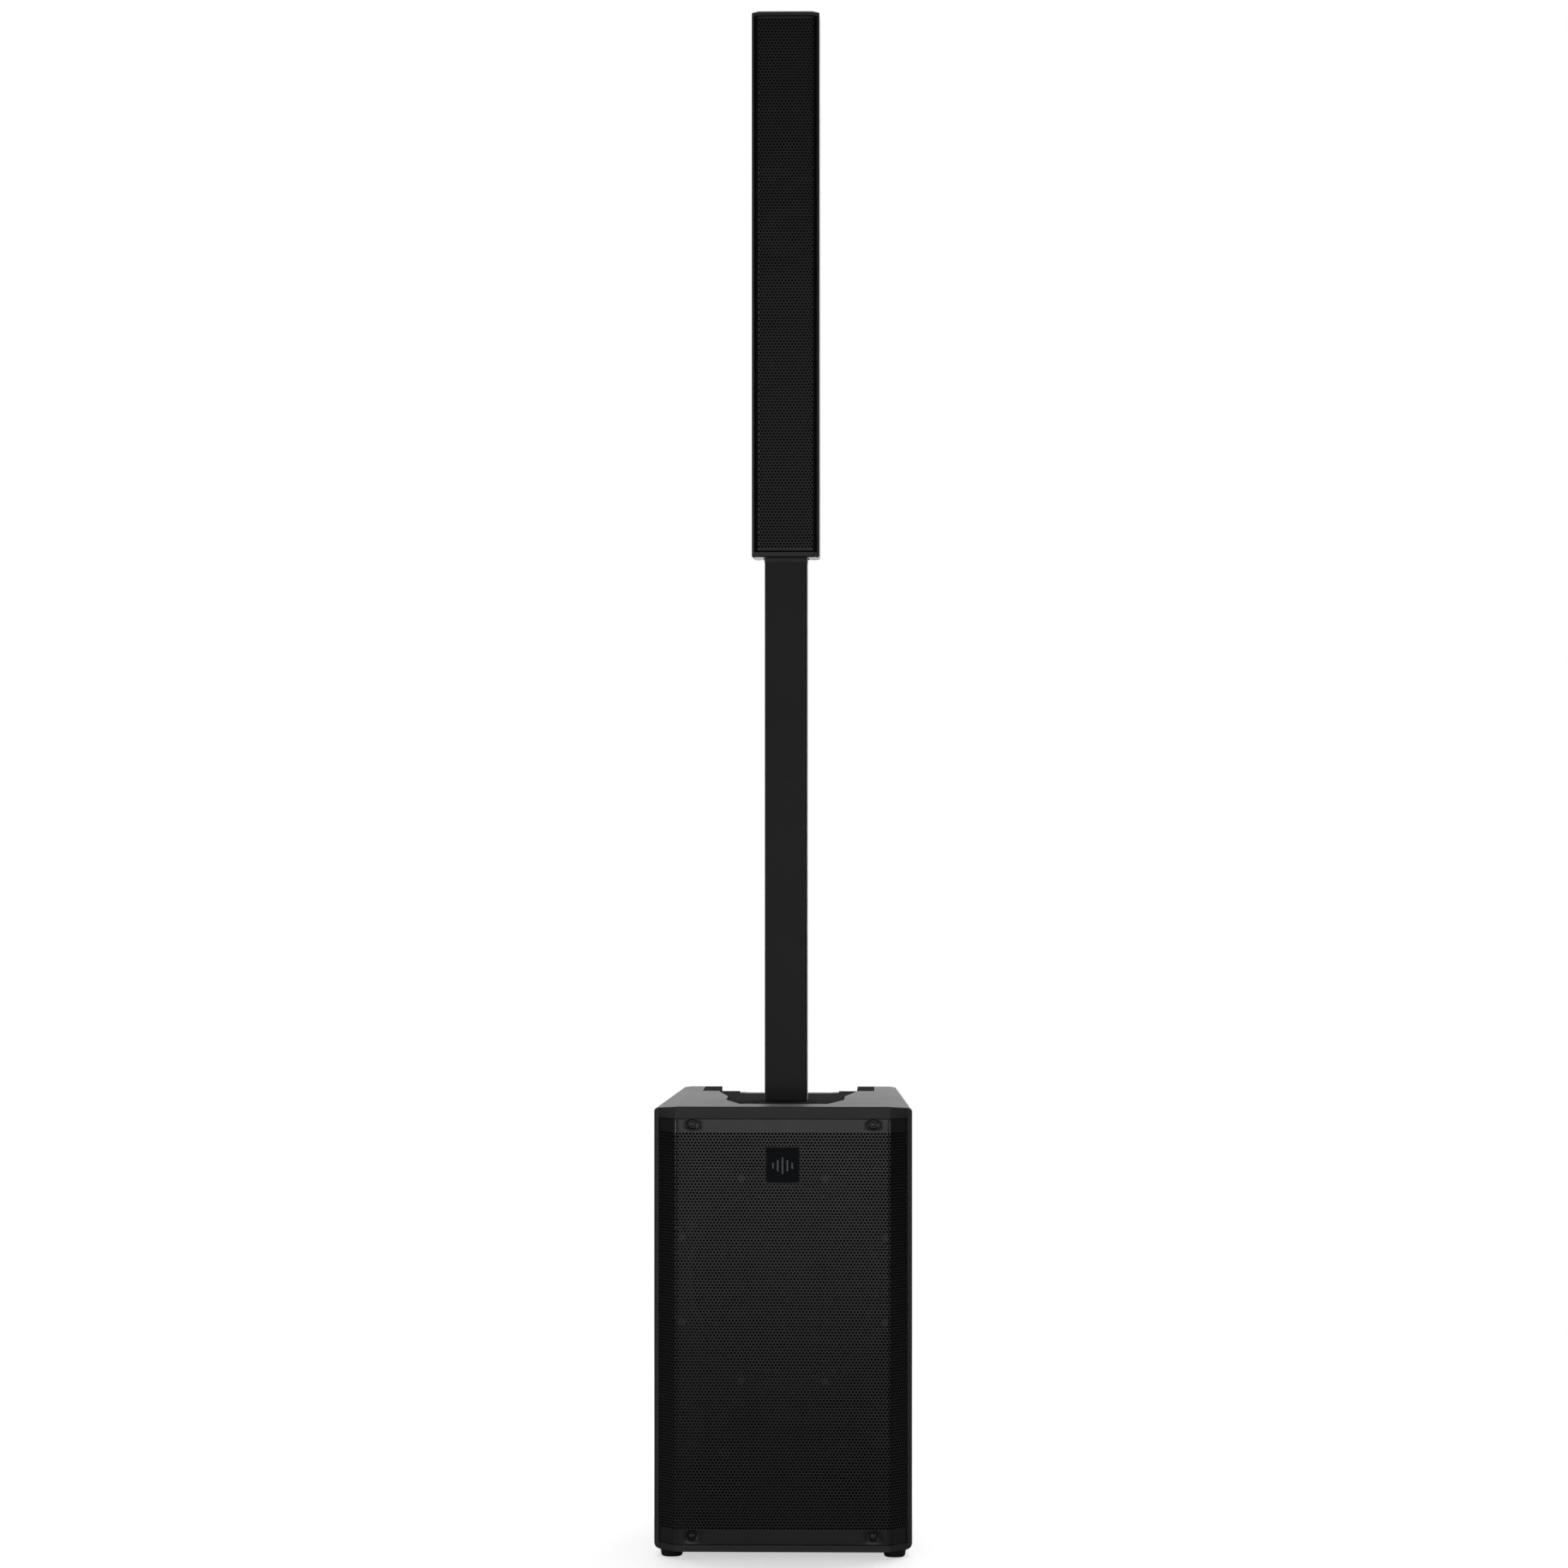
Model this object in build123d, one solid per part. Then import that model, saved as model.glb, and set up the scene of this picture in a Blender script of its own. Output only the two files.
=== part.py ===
from build123d import *
import math
import os

# Column loudspeaker on a pole over a subwoofer cabinet.
# Millimetres. +X is right and -Y is forward, towards the listener. +Z is up.
# The origin is on the floor, under the middle of the cabinet.

# ---- Driving dimensions: cabinet -------------------------------------------------
foot_height = 10.0
foot_radius = 15.25
foot_flare = 1.5
cabinet_height = 593.0
cabinet_width_front = 345.0
cabinet_width_rear = 304.0
cabinet_depth = 430.0
front_corner = 30.0
front_flat_half = cabinet_width_front / 2 - front_corner
front_facet_run = 24.0
front_facet_setback = 27.0
side_wall = 6.5
rear_zone_wall = 12.0
top_wall = 16.3
bottom_wall = 9.0
seat_step = 3.0
rear_wall = 8.0
shoulder_start = 141.0
shoulder_drop = 4.0
top_edge_radius = 5.0
bottom_edge_radius = 9.0

# ---- Driving dimensions: front -----------------------------------------------------
baffle_setback = 35.0
baffle_thickness = 18.0
fit_gap = 0.2
sheet = 1.5
grille_corner_gap = 0.8
grille_flat_half = front_flat_half + grille_corner_gap
grille_facet_run = cabinet_width_front / 2 - side_wall - grille_flat_half
grille_facet_setback = 26.0
grille_setback = 1.5
grille_end_gap = 0.7
grille_screw_x = 120.7
grille_screw_edge = 7.4
grille_screw_edge_low = 11.7
cup_radius = 5.9
cup_rim_radius = 8.5
cup_depth = 5.0
badge_width = 42.4
badge_height = 41.9
badge_window_width = 44.5
badge_window_height = 48.0
badge_center_z = 524.4
badge_thickness = 2.4
bar_relief = 0.5

# ---- Driving dimensions: woofer and ports --------------------------------------------
woofer_z = 370.0
woofer_frame_radius = 154.0
woofer_hole_radius = 139.0
woofer_bolt_radius = 146.5
woofer_bolts = 8
flange_thickness = 5.0
basket_depth = 68.0
basket_wall = 3.0
surround_outer = 133.0
cone_outer = 117.0
cone_depth = 28.0
paper = 1.2
dust_cap_radius = 56.0
dust_cap_rise = 14.0
coil_radius = 38.4
coil_wall = 0.8
coil_gap = 0.6
magnet_radius = 78.0
magnet_thickness = 20.0
plate_radius = 70.0
plate_thickness = 8.0
port_radius = 37.5
port_wall = 3.0
port_length = 170.0
port_x = 82.0
port_z = 112.0

# ---- Driving dimensions: top tray, handle and pole socket ------------------------------
tray_rim_height = 10.0
tray_floor = 5.0
tray_rim = 2.5
tray_front_half = 59.0
tray_mid_half = 80.4
tray_wide_half = 97.0
ear_outer_half = 120.0
tray_front_y = -160.0
tray_mid_front_y = -74.0
tray_mid_rear_y = -4.0
ear_front_y = 114.0
ear_inner_half = 96.0
well_half = 70.0
well_front_y = 130.0
well_depth = 65.0
cup_wall = 3.0
bar_depth = 25.0
bar_height = 22.0
bar_drop = 7.6
bar_pad = 22.0
socket_flange_x = 94.0
socket_flange_y = 128.0
socket_wall = 4.0
contact_block_height = 6.0

# ---- Driving dimensions: pole -------------------------------------------------------------
pole_width = 58.4
pole_depth = 50.0
pole_wall = 2.5
pole_corner = 3.3
pole_length = 738.6
collar_height = 5.4
collar_overhang = 0.5
spigot_tube_gap = 0.1
spigot_socket_gap = 0.6
spigot_grip = 60.0
lower_spigot_reach = 82.0
upper_spigot_reach = 78.0
spigot_hollow_wall = 5.0

# ---- Driving dimensions: column -------------------------------------------------------------
column_margin = 34.1
column_width = pole_width + column_margin
column_height = 745.0
column_front_y = -56.0
column_rear_y = 40.0
column_wall = 3.5
column_corner = 8.45
column_flat_half = column_width / 2 - column_corner
column_facet_setback = 10.5
column_rear_corner = 9.0
bottom_cap_height = 7.0
top_cap_height = 6.0
cap_bevel = 1.6
cap_screw_inset = 9.0
cap_rib_depth = 12.0
column_grille_inset = 1.0
column_grille_flat_half = column_flat_half - column_grille_inset
column_grille_facet_run = 5.5
column_grille_facet_setback = 8.5
column_grille_gap = 2.0
drivers = 8
driver_pitch = 81.0
first_driver_above = 120.0
driver_frame_radius = 33.0
driver_hole_radius = 27.0
driver_cone_radius = 20.5
driver_surround_radius = 26.0
driver_magnet_radius = 20.0
driver_magnet_depth = 14.0
column_baffle_setback = 13.5
column_baffle_thickness = 5.0

# ---- Driving dimensions: amplifier panel -----------------------------------------------------
panel_width = 236.0
panel_height = 340.0
panel_z = 270.0
panel_recess = 12.0
panel_thickness = 3.0
panel_ledge = 8.0
panel_frame_wall = 8.0
knob_xs = (84.0, 28.0, -56.0)
knob_row = 125.0
knob_radius = 9.0
knob_height = 10.5
shaft_radius = 3.0
shaft_running_fit = 0.05
lens_row = 152.0
jack_row = 62.0
combo_xs = (84.0, 28.0)
link_x = -28.0
line_jack_x = -84.0
line_jack_pitch = 27.0
jack_body_radius = 12.0
jack_flange_x = 26.0
jack_flange_z = 31.0
plug_radius = 3.25
xlr_pin_circle = 8.0
button_xs = (56.0, 0.0)
button_row = 98.0
button_size = 8.0
button_proud = 4.0
press_gap = 0.3
mains_row = -132.0
inlet_x = 62.0
inlet_width = 27.5
inlet_height = 20.0
inlet_depth = 24.0
switch_x = 0.0
switch_width = 15.0
switch_height = 21.0
rocker_tip = 8.0
board_gap = 34.0
board_half = 100.0
board_thickness = 1.6
sink_width = 208.0
sink_bottom = -108.0
sink_height = 125.0
sink_base = 3.0
fin_height = 8.0
fin_thickness = 2.4
fins = 24

# ---- Driving dimensions: screws ---------------------------------------------------------------
small_head_radius = 3.4
small_shank_radius = 1.5
grille_head_radius = 3.8
grille_shank_radius = 1.8
woofer_head_radius = 4.6
woofer_shank_radius = 2.5
tray_head_radius = 3.5
tray_shank_radius = 1.6
handle_head_radius = 4.4
heavy_shank_radius = 2.0
pole_screw_x = 15.0

# ---- Worked out from the driving dimensions ---------------------------------------------------
front_y = -cabinet_depth / 2
rear_y = cabinet_depth / 2
floor_z = foot_height
top_z = foot_height + cabinet_height
cavity_floor = floor_z + bottom_wall
cavity_top = top_z - top_wall
facet_end_y = front_y + front_facet_setback
baffle_front_y = front_y + baffle_setback
baffle_rear_y = baffle_front_y + baffle_thickness
grille_y = front_y + grille_setback
grille_low = cavity_floor + grille_end_gap
grille_high = cavity_top - grille_end_gap
grille_screw_high = cavity_top - grille_screw_edge
grille_screw_low = cavity_floor + grille_screw_edge_low
tray_floor_z = top_z - tray_rim_height + tray_floor
tray_under_z = top_z - tray_rim_height
bar_top = top_z - bar_drop
bar_under = bar_top - bar_height
well_floor_z = tray_under_z - well_depth
spigot_width = pole_width - 2 * pole_wall - 2 * spigot_tube_gap
spigot_depth = pole_depth - 2 * pole_wall - 2 * spigot_tube_gap
socket_width = spigot_width + 2 * spigot_socket_gap
socket_depth = spigot_depth + 2 * spigot_socket_gap
pole_top = tray_floor_z + pole_length
column_bottom = pole_top + collar_height
column_top = column_bottom + column_height
column_grille_y = column_front_y + 0.5
panel_face_y = rear_y - panel_recess
panel_back_y = panel_face_y - panel_thickness
contact_pin = 1.5
contact_pitch = 7.0
contact_width = 34.0
contact_depth = 16.0


def block(x, y, z, size_x, size_y, size_z):
    """A box centred on x and y that stands on z."""
    return Pos(x, y, z + size_z / 2) * Box(size_x, size_y, size_z)


def span(x_low, x_high, y_low, y_high, z_low, z_high):
    """A box between two corners."""
    return block((x_low + x_high) / 2, (y_low + y_high) / 2, z_low,
                 x_high - x_low, y_high - y_low, z_high - z_low)


def prism(points, low, high):
    """An outline in plan, raised between two heights."""
    return Pos(0, 0, low) * extrude(make_face(Polyline(*points, close=True)), high - low, dir=(0, 0, 1))


def both_sides(half):
    """A half outline on the right, continued by its mirror image."""
    return list(half) + [(-x, y) for x, y in reversed(half)]


def side_offset(points, distance):
    """The open line through the points, moved sideways to its right with mitred corners."""
    moved = []
    count = len(points)
    for i, (x, y) in enumerate(points):
        before = points[max(i - 1, 0)]
        after = points[min(i + 1, count - 1)]
        ahead = (after if i < count - 1 else points[i])
        a = (x - before[0], y - before[1]) if i > 0 else (ahead[0] - x, ahead[1] - y)
        b = (ahead[0] - x, ahead[1] - y) if i < count - 1 else a
        na = (a[1] / math.hypot(*a), -a[0] / math.hypot(*a))
        nb = (b[1] / math.hypot(*b), -b[0] / math.hypot(*b))
        reach = distance / (1 + na[0] * nb[0] + na[1] * nb[1])
        moved.append((x + (na[0] + nb[0]) * reach, y + (na[1] + nb[1]) * reach))
    return moved


def bent_sheet(flat_half, run, setback, y, thickness, low, high):
    """A sheet with a flat middle and two side facets bent back."""
    line = [(-flat_half - run, y + setback), (-flat_half, y), (flat_half, y), (flat_half + run, y + setback)]
    inner = side_offset(line, -thickness)
    return prism(line + list(reversed(inner)), low, high)


def rod(x, y, z, radius, length):
    """A round bar along +Y whose near end is at y."""
    return Pos(x, y + length / 2, z) * Rot(90, 0, 0) * Cylinder(radius, length)


def post(x, y, z, radius, length):
    """A round bar along +Z that stands on z."""
    return Pos(x, y, z + length / 2) * Cylinder(radius, length)


def turned(profile, x, z):
    """A profile of (radius, y) points, turned about the line along Y through x and z."""
    return Pos(x, 0, z) * revolve(make_face(Polyline(*profile, close=True)), Axis.Y)


def group(pieces):
    """Separate like pieces, kept as separate solids."""
    return Compound([solid for piece in pieces for solid in piece.solids()])


def screw_along_y(x, y, z, toward, head_radius, head, shank_radius, shank):
    """A pan head screw with a hex socket; its head's seat is at y, its shank goes toward +1 or -1."""
    body = Cylinder(head_radius, head, align=(Align.CENTER, Align.CENTER, Align.MAX))
    body += Cylinder(shank_radius, shank, align=(Align.CENTER, Align.CENTER, Align.MIN))
    recess = extrude(RegularPolygon(head_radius * 0.45, 6), head * 0.6)
    body -= Pos(0, 0, -head) * recess
    return Pos(x, y, z) * Rot(-90 * toward, 0, 0) * body


def screw_along_z(x, y, z, toward, head_radius, head, shank_radius, shank):
    """The same screw upright; toward is the direction of its shank along Z."""
    body = Cylinder(head_radius, head, align=(Align.CENTER, Align.CENTER, Align.MAX))
    body += Cylinder(shank_radius, shank, align=(Align.CENTER, Align.CENTER, Align.MIN))
    recess = extrude(RegularPolygon(head_radius * 0.45, 6), head * 0.6)
    body -= Pos(0, 0, -head) * recess
    return Pos(x, y, z) * Rot(0 if toward > 0 else 180, 0, 0) * body


# ---- Cabinet ---------------------------------------------------------------------------------
def side_line():
    """The cabinet's right side in plan, from the front facet's end to the rear corner."""
    return (cabinet_width_front / 2, facet_end_y + 2), (cabinet_width_rear / 2, rear_y)


def half_width_at(y, wall=0.0):
    """Half the cabinet's width at y, less a wall."""
    (x0, y0), (x1, y1) = side_line()
    return x0 + (x1 - x0) * (y - y0) / (y1 - y0) - wall


foot_places = [(s * 149.0, front_y + 35.0) for s in (-1, 1)]
foot_places += [(s * (half_width_at(rear_y - 35.0) - 23.0), rear_y - 35.0) for s in (-1, 1)]
panel_screws_at = [(sx * (panel_width / 2 - panel_ledge / 2), panel_z + sz * (panel_height / 2 - 12.0))
                   for sx in (-1, 1) for sz in (-1, 0, 1)]
panel_screws_at += [(0.0, panel_z + sz * (panel_height / 2 - panel_ledge / 2)) for sz in (-1, 1)]
tray_screws_at = [(s * 52.0, -138.0) for s in (-1, 1)] + [(s * 68.0, 40.0) for s in (-1, 1)]
tray_screws_at += [(s * 82.0, 120.0) for s in (-1, 1)]
socket_screws_at = [(sx * (socket_flange_x / 2 - 8), sy * (socket_flange_y / 2 - 12))
                    for sx in (-1, 1) for sy in (-1, 1)]
bar_screws_at = [(s * (ear_inner_half - bar_pad / 2), rear_y - bar_depth / 2) for s in (-1, 1)]
grille_screws_at = [(s * grille_screw_x, z) for s in (-1, 1) for z in (grille_screw_low, grille_screw_high)]
woofer_screws_at = [(woofer_bolt_radius * math.cos(math.radians(22.5 + 45 * i)),
                     woofer_z + woofer_bolt_radius * math.sin(math.radians(22.5 + 45 * i)))
                    for i in range(woofer_bolts)]


def tray_outline(inset=0.0):
    """The tray in plan: narrow at the front, wide at the rear, open to the rear face."""
    half = [(tray_front_half, tray_front_y), (tray_mid_half, tray_mid_front_y),
            (tray_mid_half, tray_mid_rear_y), (tray_wide_half, ear_front_y),
            (ear_outer_half, ear_front_y), (ear_outer_half, rear_y)]
    if inset:
        line = [(0.0, tray_front_y)] + half
        half = side_offset(line, -inset)[1:]
        half[-1] = (half[-1][0], rear_y)
    return both_sides(half)


def cabinet_shell():
    """Moulded shell: tapered sides, front corners cut at the grille's angle, sloped shoulders."""
    side_front, side_rear = side_line()
    plan = both_sides([(front_flat_half, front_y),
                       (front_flat_half + front_facet_run, facet_end_y),
                       (side_front[0] - 2, facet_end_y), side_front, side_rear])
    body = prism(plan, floor_z, top_z)
    for s in (-1, 1):
        roof = Polyline((s * shoulder_start, top_z), (s * 200, top_z),
                        (s * 200, top_z - shoulder_drop * (200 - shoulder_start)
                         / (cabinet_width_front / 2 - shoulder_start)), close=True)
        wedge = Pos(0, rear_y, 0) * extrude(Plane.XZ * make_face(roof), cabinet_depth)
        body -= wedge
    side_edges = body.edges().filter_by(lambda e: abs(e.center().X) > cabinet_width_rear / 2
                                        and e.length > cabinet_depth * 0.8)
    body = fillet(side_edges.group_by(Axis.Z)[-1], top_edge_radius)
    low_edges = body.edges().filter_by(lambda e: abs(e.center().X) > cabinet_width_rear / 2
                                       and e.length > cabinet_depth * 0.8
                                       and e.center().Z < floor_z + 1)
    body = fillet(low_edges, bottom_edge_radius)
    front_room = both_sides([(half_width_at(front_y, side_wall), front_y - 1),
                             (half_width_at(baffle_rear_y, side_wall), baffle_rear_y)])
    rear_room = both_sides([(half_width_at(baffle_rear_y, rear_zone_wall), baffle_rear_y),
                            (half_width_at(rear_y - rear_wall, rear_zone_wall), rear_y - rear_wall)])
    body -= prism(front_room, cavity_floor, cavity_top)
    body -= prism(rear_room, cavity_floor + seat_step, cavity_top - seat_step)
    # Rear panel frame: a ring inside the rear wall with a ledge for the panel.
    frame_x = panel_width / 2 + panel_frame_wall
    frame_z = panel_height / 2 + panel_frame_wall
    body += span(-frame_x, frame_x, panel_back_y - 6, rear_y, panel_z - frame_z, panel_z + frame_z)
    body -= span(-panel_width / 2 - fit_gap, panel_width / 2 + fit_gap, panel_back_y, rear_y + 1,
                 panel_z - panel_height / 2 - fit_gap, panel_z + panel_height / 2 + fit_gap)
    body -= span(-panel_width / 2 + panel_ledge, panel_width / 2 - panel_ledge, panel_back_y - 7, rear_y,
                 panel_z - panel_height / 2 + panel_ledge, panel_z + panel_height / 2 - panel_ledge)
    # Top: the tray's pocket, the socket's opening, the hand well and the handle's seat.
    body -= prism(tray_outline(), tray_under_z, top_z + 1)
    hole_x = socket_width / 2 + socket_wall + fit_gap
    hole_y = socket_depth / 2 + socket_wall + fit_gap
    body -= span(-hole_x, hole_x, -hole_y, hole_y, cavity_top - seat_step - 1, tray_under_z + 1)
    well_x = well_half + cup_wall
    body -= span(-well_x, well_x, well_front_y - cup_wall, rear_y + 1, well_floor_z - cup_wall, tray_under_z + 1)
    body -= span(-ear_inner_half, ear_inner_half, rear_y - bar_depth, rear_y + 1, bar_under, tray_under_z + 1)
    for x, y in tray_screws_at + socket_screws_at:
        body -= post(x, y, tray_under_z - 12, 1.6, 13)
    for x, y in bar_screws_at:
        body -= post(x, y, bar_under - 10, 2.0, 11)
    for x, y in foot_places:
        body -= post(x, y, floor_z - 1, 2.0, 9)
    for x, z in panel_screws_at:
        body -= rod(x, panel_back_y - 6.5, z, 1.5, 7)
    return body


def handle_well():
    """Open cup under the handle bar, closed to the cabinet's air, open upwards and to the rear."""
    x = well_half + cup_wall
    y = well_front_y - cup_wall
    cup = span(-x, x, y, rear_y, well_floor_z - cup_wall, tray_under_z)
    cup -= span(-well_half, well_half, well_front_y, rear_y + 1, well_floor_z, tray_under_z + 1)
    cup -= span(-x - 1, x + 1, rear_y - bar_depth, rear_y + 1, bar_under, tray_under_z + 1)
    return cup


def carry_handle():
    """Grip bar across the rear top edge, rounded between two flat pads."""
    bar = span(-ear_inner_half, ear_inner_half, rear_y - bar_depth, rear_y, bar_under, bar_top)
    grip = span(-well_half + 4, well_half - 4, rear_y - bar_depth, rear_y, bar_under, bar_top)
    rounded = fillet(grip.edges().filter_by(Axis.X), 6.0)
    bar -= grip
    bar += rounded
    for x, y in bar_screws_at:
        bar -= post(x, y, bar_under - 1, 2.5, bar_height + 2)
        bar -= post(x, y, bar_top - 4, 4.6, 5)
    return bar


def top_tray():
    """Sunk tray around the pole with a thin rim, two ears at the rear and a slot over the hand well."""
    tray = prism(tray_outline(fit_gap), tray_under_z, top_z)
    inside = tray_outline(tray_rim + fit_gap)[:3]
    inside += [(ear_inner_half, ear_front_y - 2), (ear_inner_half, rear_y + 1)]
    tray -= prism(both_sides(inside), tray_floor_z, top_z + 1)
    tray -= span(-ear_inner_half, ear_inner_half, rear_y - bar_depth - fit_gap, rear_y + 1,
                 tray_under_z - 1, top_z + 1)
    tray -= span(-well_half, well_half, well_front_y, rear_y, tray_under_z - 1, top_z + 1)
    tray -= block(0, 0, tray_under_z - 1, socket_flange_x + 2 * fit_gap, socket_flange_y + 2 * fit_gap, 20)
    for x, y in tray_screws_at:
        tray -= post(x, y, tray_under_z - 1, 1.9, 10)
        tray -= post(x, y, tray_floor_z - 2, 3.7, 6)
    return tray


def pole_socket():
    """Flanged sleeve that takes the pole's lower spigot."""
    outer_x = socket_width / 2 + socket_wall
    outer_y = socket_depth / 2 + socket_wall
    bottom = tray_floor_z - lower_spigot_reach - contact_block_height - 2 - socket_wall
    body = block(0, 0, tray_under_z, socket_flange_x, socket_flange_y, tray_floor)
    body += span(-outer_x, outer_x, -outer_y, outer_y, bottom, tray_under_z)
    body -= block(0, 0, bottom + socket_wall, socket_width, socket_depth, 200)
    for x, y in socket_screws_at:
        body -= post(x, y, tray_under_z - 1, 1.9, 10)
        body -= post(x, y, tray_floor_z - 2, 3.7, 6)
    return body


def socket_contacts():
    """Pinned contact block on the floor of the pole socket."""
    return group(contact_male(lower_spigot_low - 2 - contact_block_height))


def contact_pins_at(z, length):
    """Four contact pins in a row across the pole."""
    return [post((i - 1.5) * contact_pitch, 0, z, contact_pin, length) for i in range(4)]


def contact_male(z):
    """Insulating block with its pins; z is the block's underside."""
    body = block(0, 0, z, contact_width, contact_depth, contact_block_height)
    return [body] + contact_pins_at(z + contact_block_height, 8.0)


def contact_female(z):
    """Insulating block with four bores open below and above; z is its underside."""
    body = block(0, 0, z, contact_width, contact_depth, 12.0)
    for i in range(4):
        body -= post((i - 1.5) * contact_pitch, 0, z - 1, contact_pin + press_gap, 14.0)
    return body


# ---- Subwoofer front --------------------------------------------------------------------------
def front_baffle():
    """Board that closes the cabinet behind the grille and carries the woofer and the ports."""
    plan = both_sides([(half_width_at(baffle_front_y, side_wall + fit_gap), baffle_front_y),
                       (half_width_at(baffle_rear_y, side_wall + fit_gap), baffle_rear_y)])
    board = prism(plan, cavity_floor + fit_gap, cavity_top - fit_gap)
    board -= rod(0, baffle_front_y - 1, woofer_z, woofer_hole_radius, baffle_thickness + 2)
    for s in (-1, 1):
        board -= rod(s * port_x, baffle_front_y - 1, port_z, port_radius + port_wall, baffle_thickness + 2)
    cup_back = grille_y + sheet + cup_depth
    for x, z in grille_screws_at:
        board += block(x, (cup_back + baffle_front_y) / 2, max(z - 8, cavity_floor + fit_gap), 16,
                       baffle_front_y - cup_back, min(z + 8, cavity_top - fit_gap)
                       - max(z - 8, cavity_floor + fit_gap))
        board -= rod(x, cup_back - 1, z, 1.8, 16)
    for x, z in woofer_screws_at:
        board -= rod(x, baffle_front_y - 1, z, 2.5, 15)
    return board


def sub_grille():
    """Steel sheet with a flat middle, two bent facets, pressed screw cups and the badge's window."""
    body = bent_sheet(grille_flat_half, grille_facet_run, grille_facet_setback, grille_y, sheet,
                      grille_low, grille_high)
    for x, z in grille_screws_at:
        cup_far = grille_y + sheet + cup_depth
        body += rod(x, grille_y, z, cup_radius + sheet, cup_depth + sheet)
        mouth = turned([(0, grille_y - 1), (cup_rim_radius - 1, grille_y - 1), (cup_rim_radius - 1, grille_y),
                        (cup_radius, grille_y + sheet), (cup_radius, cup_far - sheet), (0, cup_far - sheet)], x, z)
        body -= mouth
        body -= rod(x, grille_y - 1, z, 2.1, 12)
    body -= span(-badge_window_width / 2, badge_window_width / 2, grille_y - 1, grille_y + sheet + 1,
                 badge_center_z - badge_window_height / 2, badge_center_z + badge_window_height / 2)
    return body


def badge_plate():
    """Plain badge with five raised level bars, held by a flange behind the grille."""
    y = grille_y - 0.5
    plate = span(-badge_width / 2, badge_width / 2, y, grille_y + sheet,
                 badge_center_z - badge_height / 2, badge_center_z + badge_height / 2)
    flange = span(-badge_window_width / 2 - 3, badge_window_width / 2 + 3, grille_y + sheet,
                  grille_y + sheet + badge_thickness - 1,
                  badge_center_z - badge_window_height / 2 - 3, badge_center_z + badge_window_height / 2 + 3)
    plate += flange
    for i, height in enumerate((9.0, 16.0, 23.0, 16.0, 9.0)):
        x = (i - 2) * 6.4
        plate -= span(x - 1.5, x + 1.5, y - 1, y + bar_relief,
                      badge_center_z - height / 2, badge_center_z + height / 2)
    return plate


def woofer_basket():
    """Die cast frame: flat flange, six spokes and a seat for the magnet system."""
    front = baffle_front_y - flange_thickness
    back = baffle_front_y + basket_depth
    seat = magnet_radius + 4
    rim = woofer_hole_radius - 1
    body = turned([(surround_outer - 1, front), (woofer_frame_radius, front),
                   (woofer_frame_radius, baffle_front_y), (rim, baffle_front_y), (seat, back),
                   (seat, back + 4), (coil_radius + 3, back + 4), (coil_radius + 3, back),
                   (seat - basket_wall, back), (rim - basket_wall - 2, baffle_front_y),
                   (surround_outer - 1, baffle_front_y)], 0, woofer_z)
    for i in range(6):
        window = Pos(0, 0, woofer_z) * Rot(0, 60 * i, 0) * block(
            (seat + rim) / 2 + 8, (baffle_front_y + baffle_thickness + back) / 2 - 2, -28,
            60, back - baffle_front_y - baffle_thickness - 14, 56)
        body -= window
    for x, z in woofer_screws_at:
        body -= rod(x, front - 1, z, 2.8, flange_thickness + 2)
    return body


def woofer_magnet():
    """Top plate, ferrite ring and back plate with the pole piece, as three solids."""
    y = baffle_front_y + basket_depth + 4
    hole = coil_radius + coil_wall + coil_gap
    top = turned([(hole, y), (plate_radius, y), (plate_radius, y + plate_thickness),
                  (hole, y + plate_thickness)], 0, woofer_z)
    ring_y = y + plate_thickness
    ring = turned([(hole + 4, ring_y), (magnet_radius, ring_y), (magnet_radius, ring_y + magnet_thickness),
                   (hole + 4, ring_y + magnet_thickness)], 0, woofer_z)
    back_y = ring_y + magnet_thickness
    core = coil_radius - coil_gap
    back = turned([(10, y), (core, y), (core, back_y), (plate_radius, back_y),
                   (plate_radius, back_y + plate_thickness), (10, back_y + plate_thickness)], 0, woofer_z)
    return group([top, ring, back])


cone_edge_y = baffle_front_y - flange_thickness + 5.5
neck_y = cone_edge_y + cone_depth
cap_seat_y = neck_y - cone_depth * (dust_cap_radius - coil_radius) / (cone_outer - coil_radius)


def woofer_cone():
    """Paper cone from the voice coil's neck to the surround."""
    r = coil_radius + coil_wall
    return turned([(r, neck_y), (cone_outer, cone_edge_y), (cone_outer, cone_edge_y + paper),
                   (r, neck_y + paper)], 0, woofer_z)


def woofer_surround():
    """Half roll of foam between the cone's edge and the frame."""
    middle = (surround_outer - 1.0 + cone_outer) / 2
    roll = (surround_outer - 1.0 - cone_outer) / 2
    arc_out = ThreePointArc((middle - roll, cone_edge_y), (middle, cone_edge_y - roll), (middle + roll, cone_edge_y))
    inner = roll - 1.5
    arc_in = ThreePointArc((middle + inner, cone_edge_y), (middle, cone_edge_y - inner), (middle - inner, cone_edge_y))
    face = make_face([arc_out, Line(arc_out @ 1, arc_in @ 0), arc_in, Line(arc_in @ 1, arc_out @ 0)])
    return Pos(0, 0, woofer_z) * revolve(face, Axis.Y)


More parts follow.
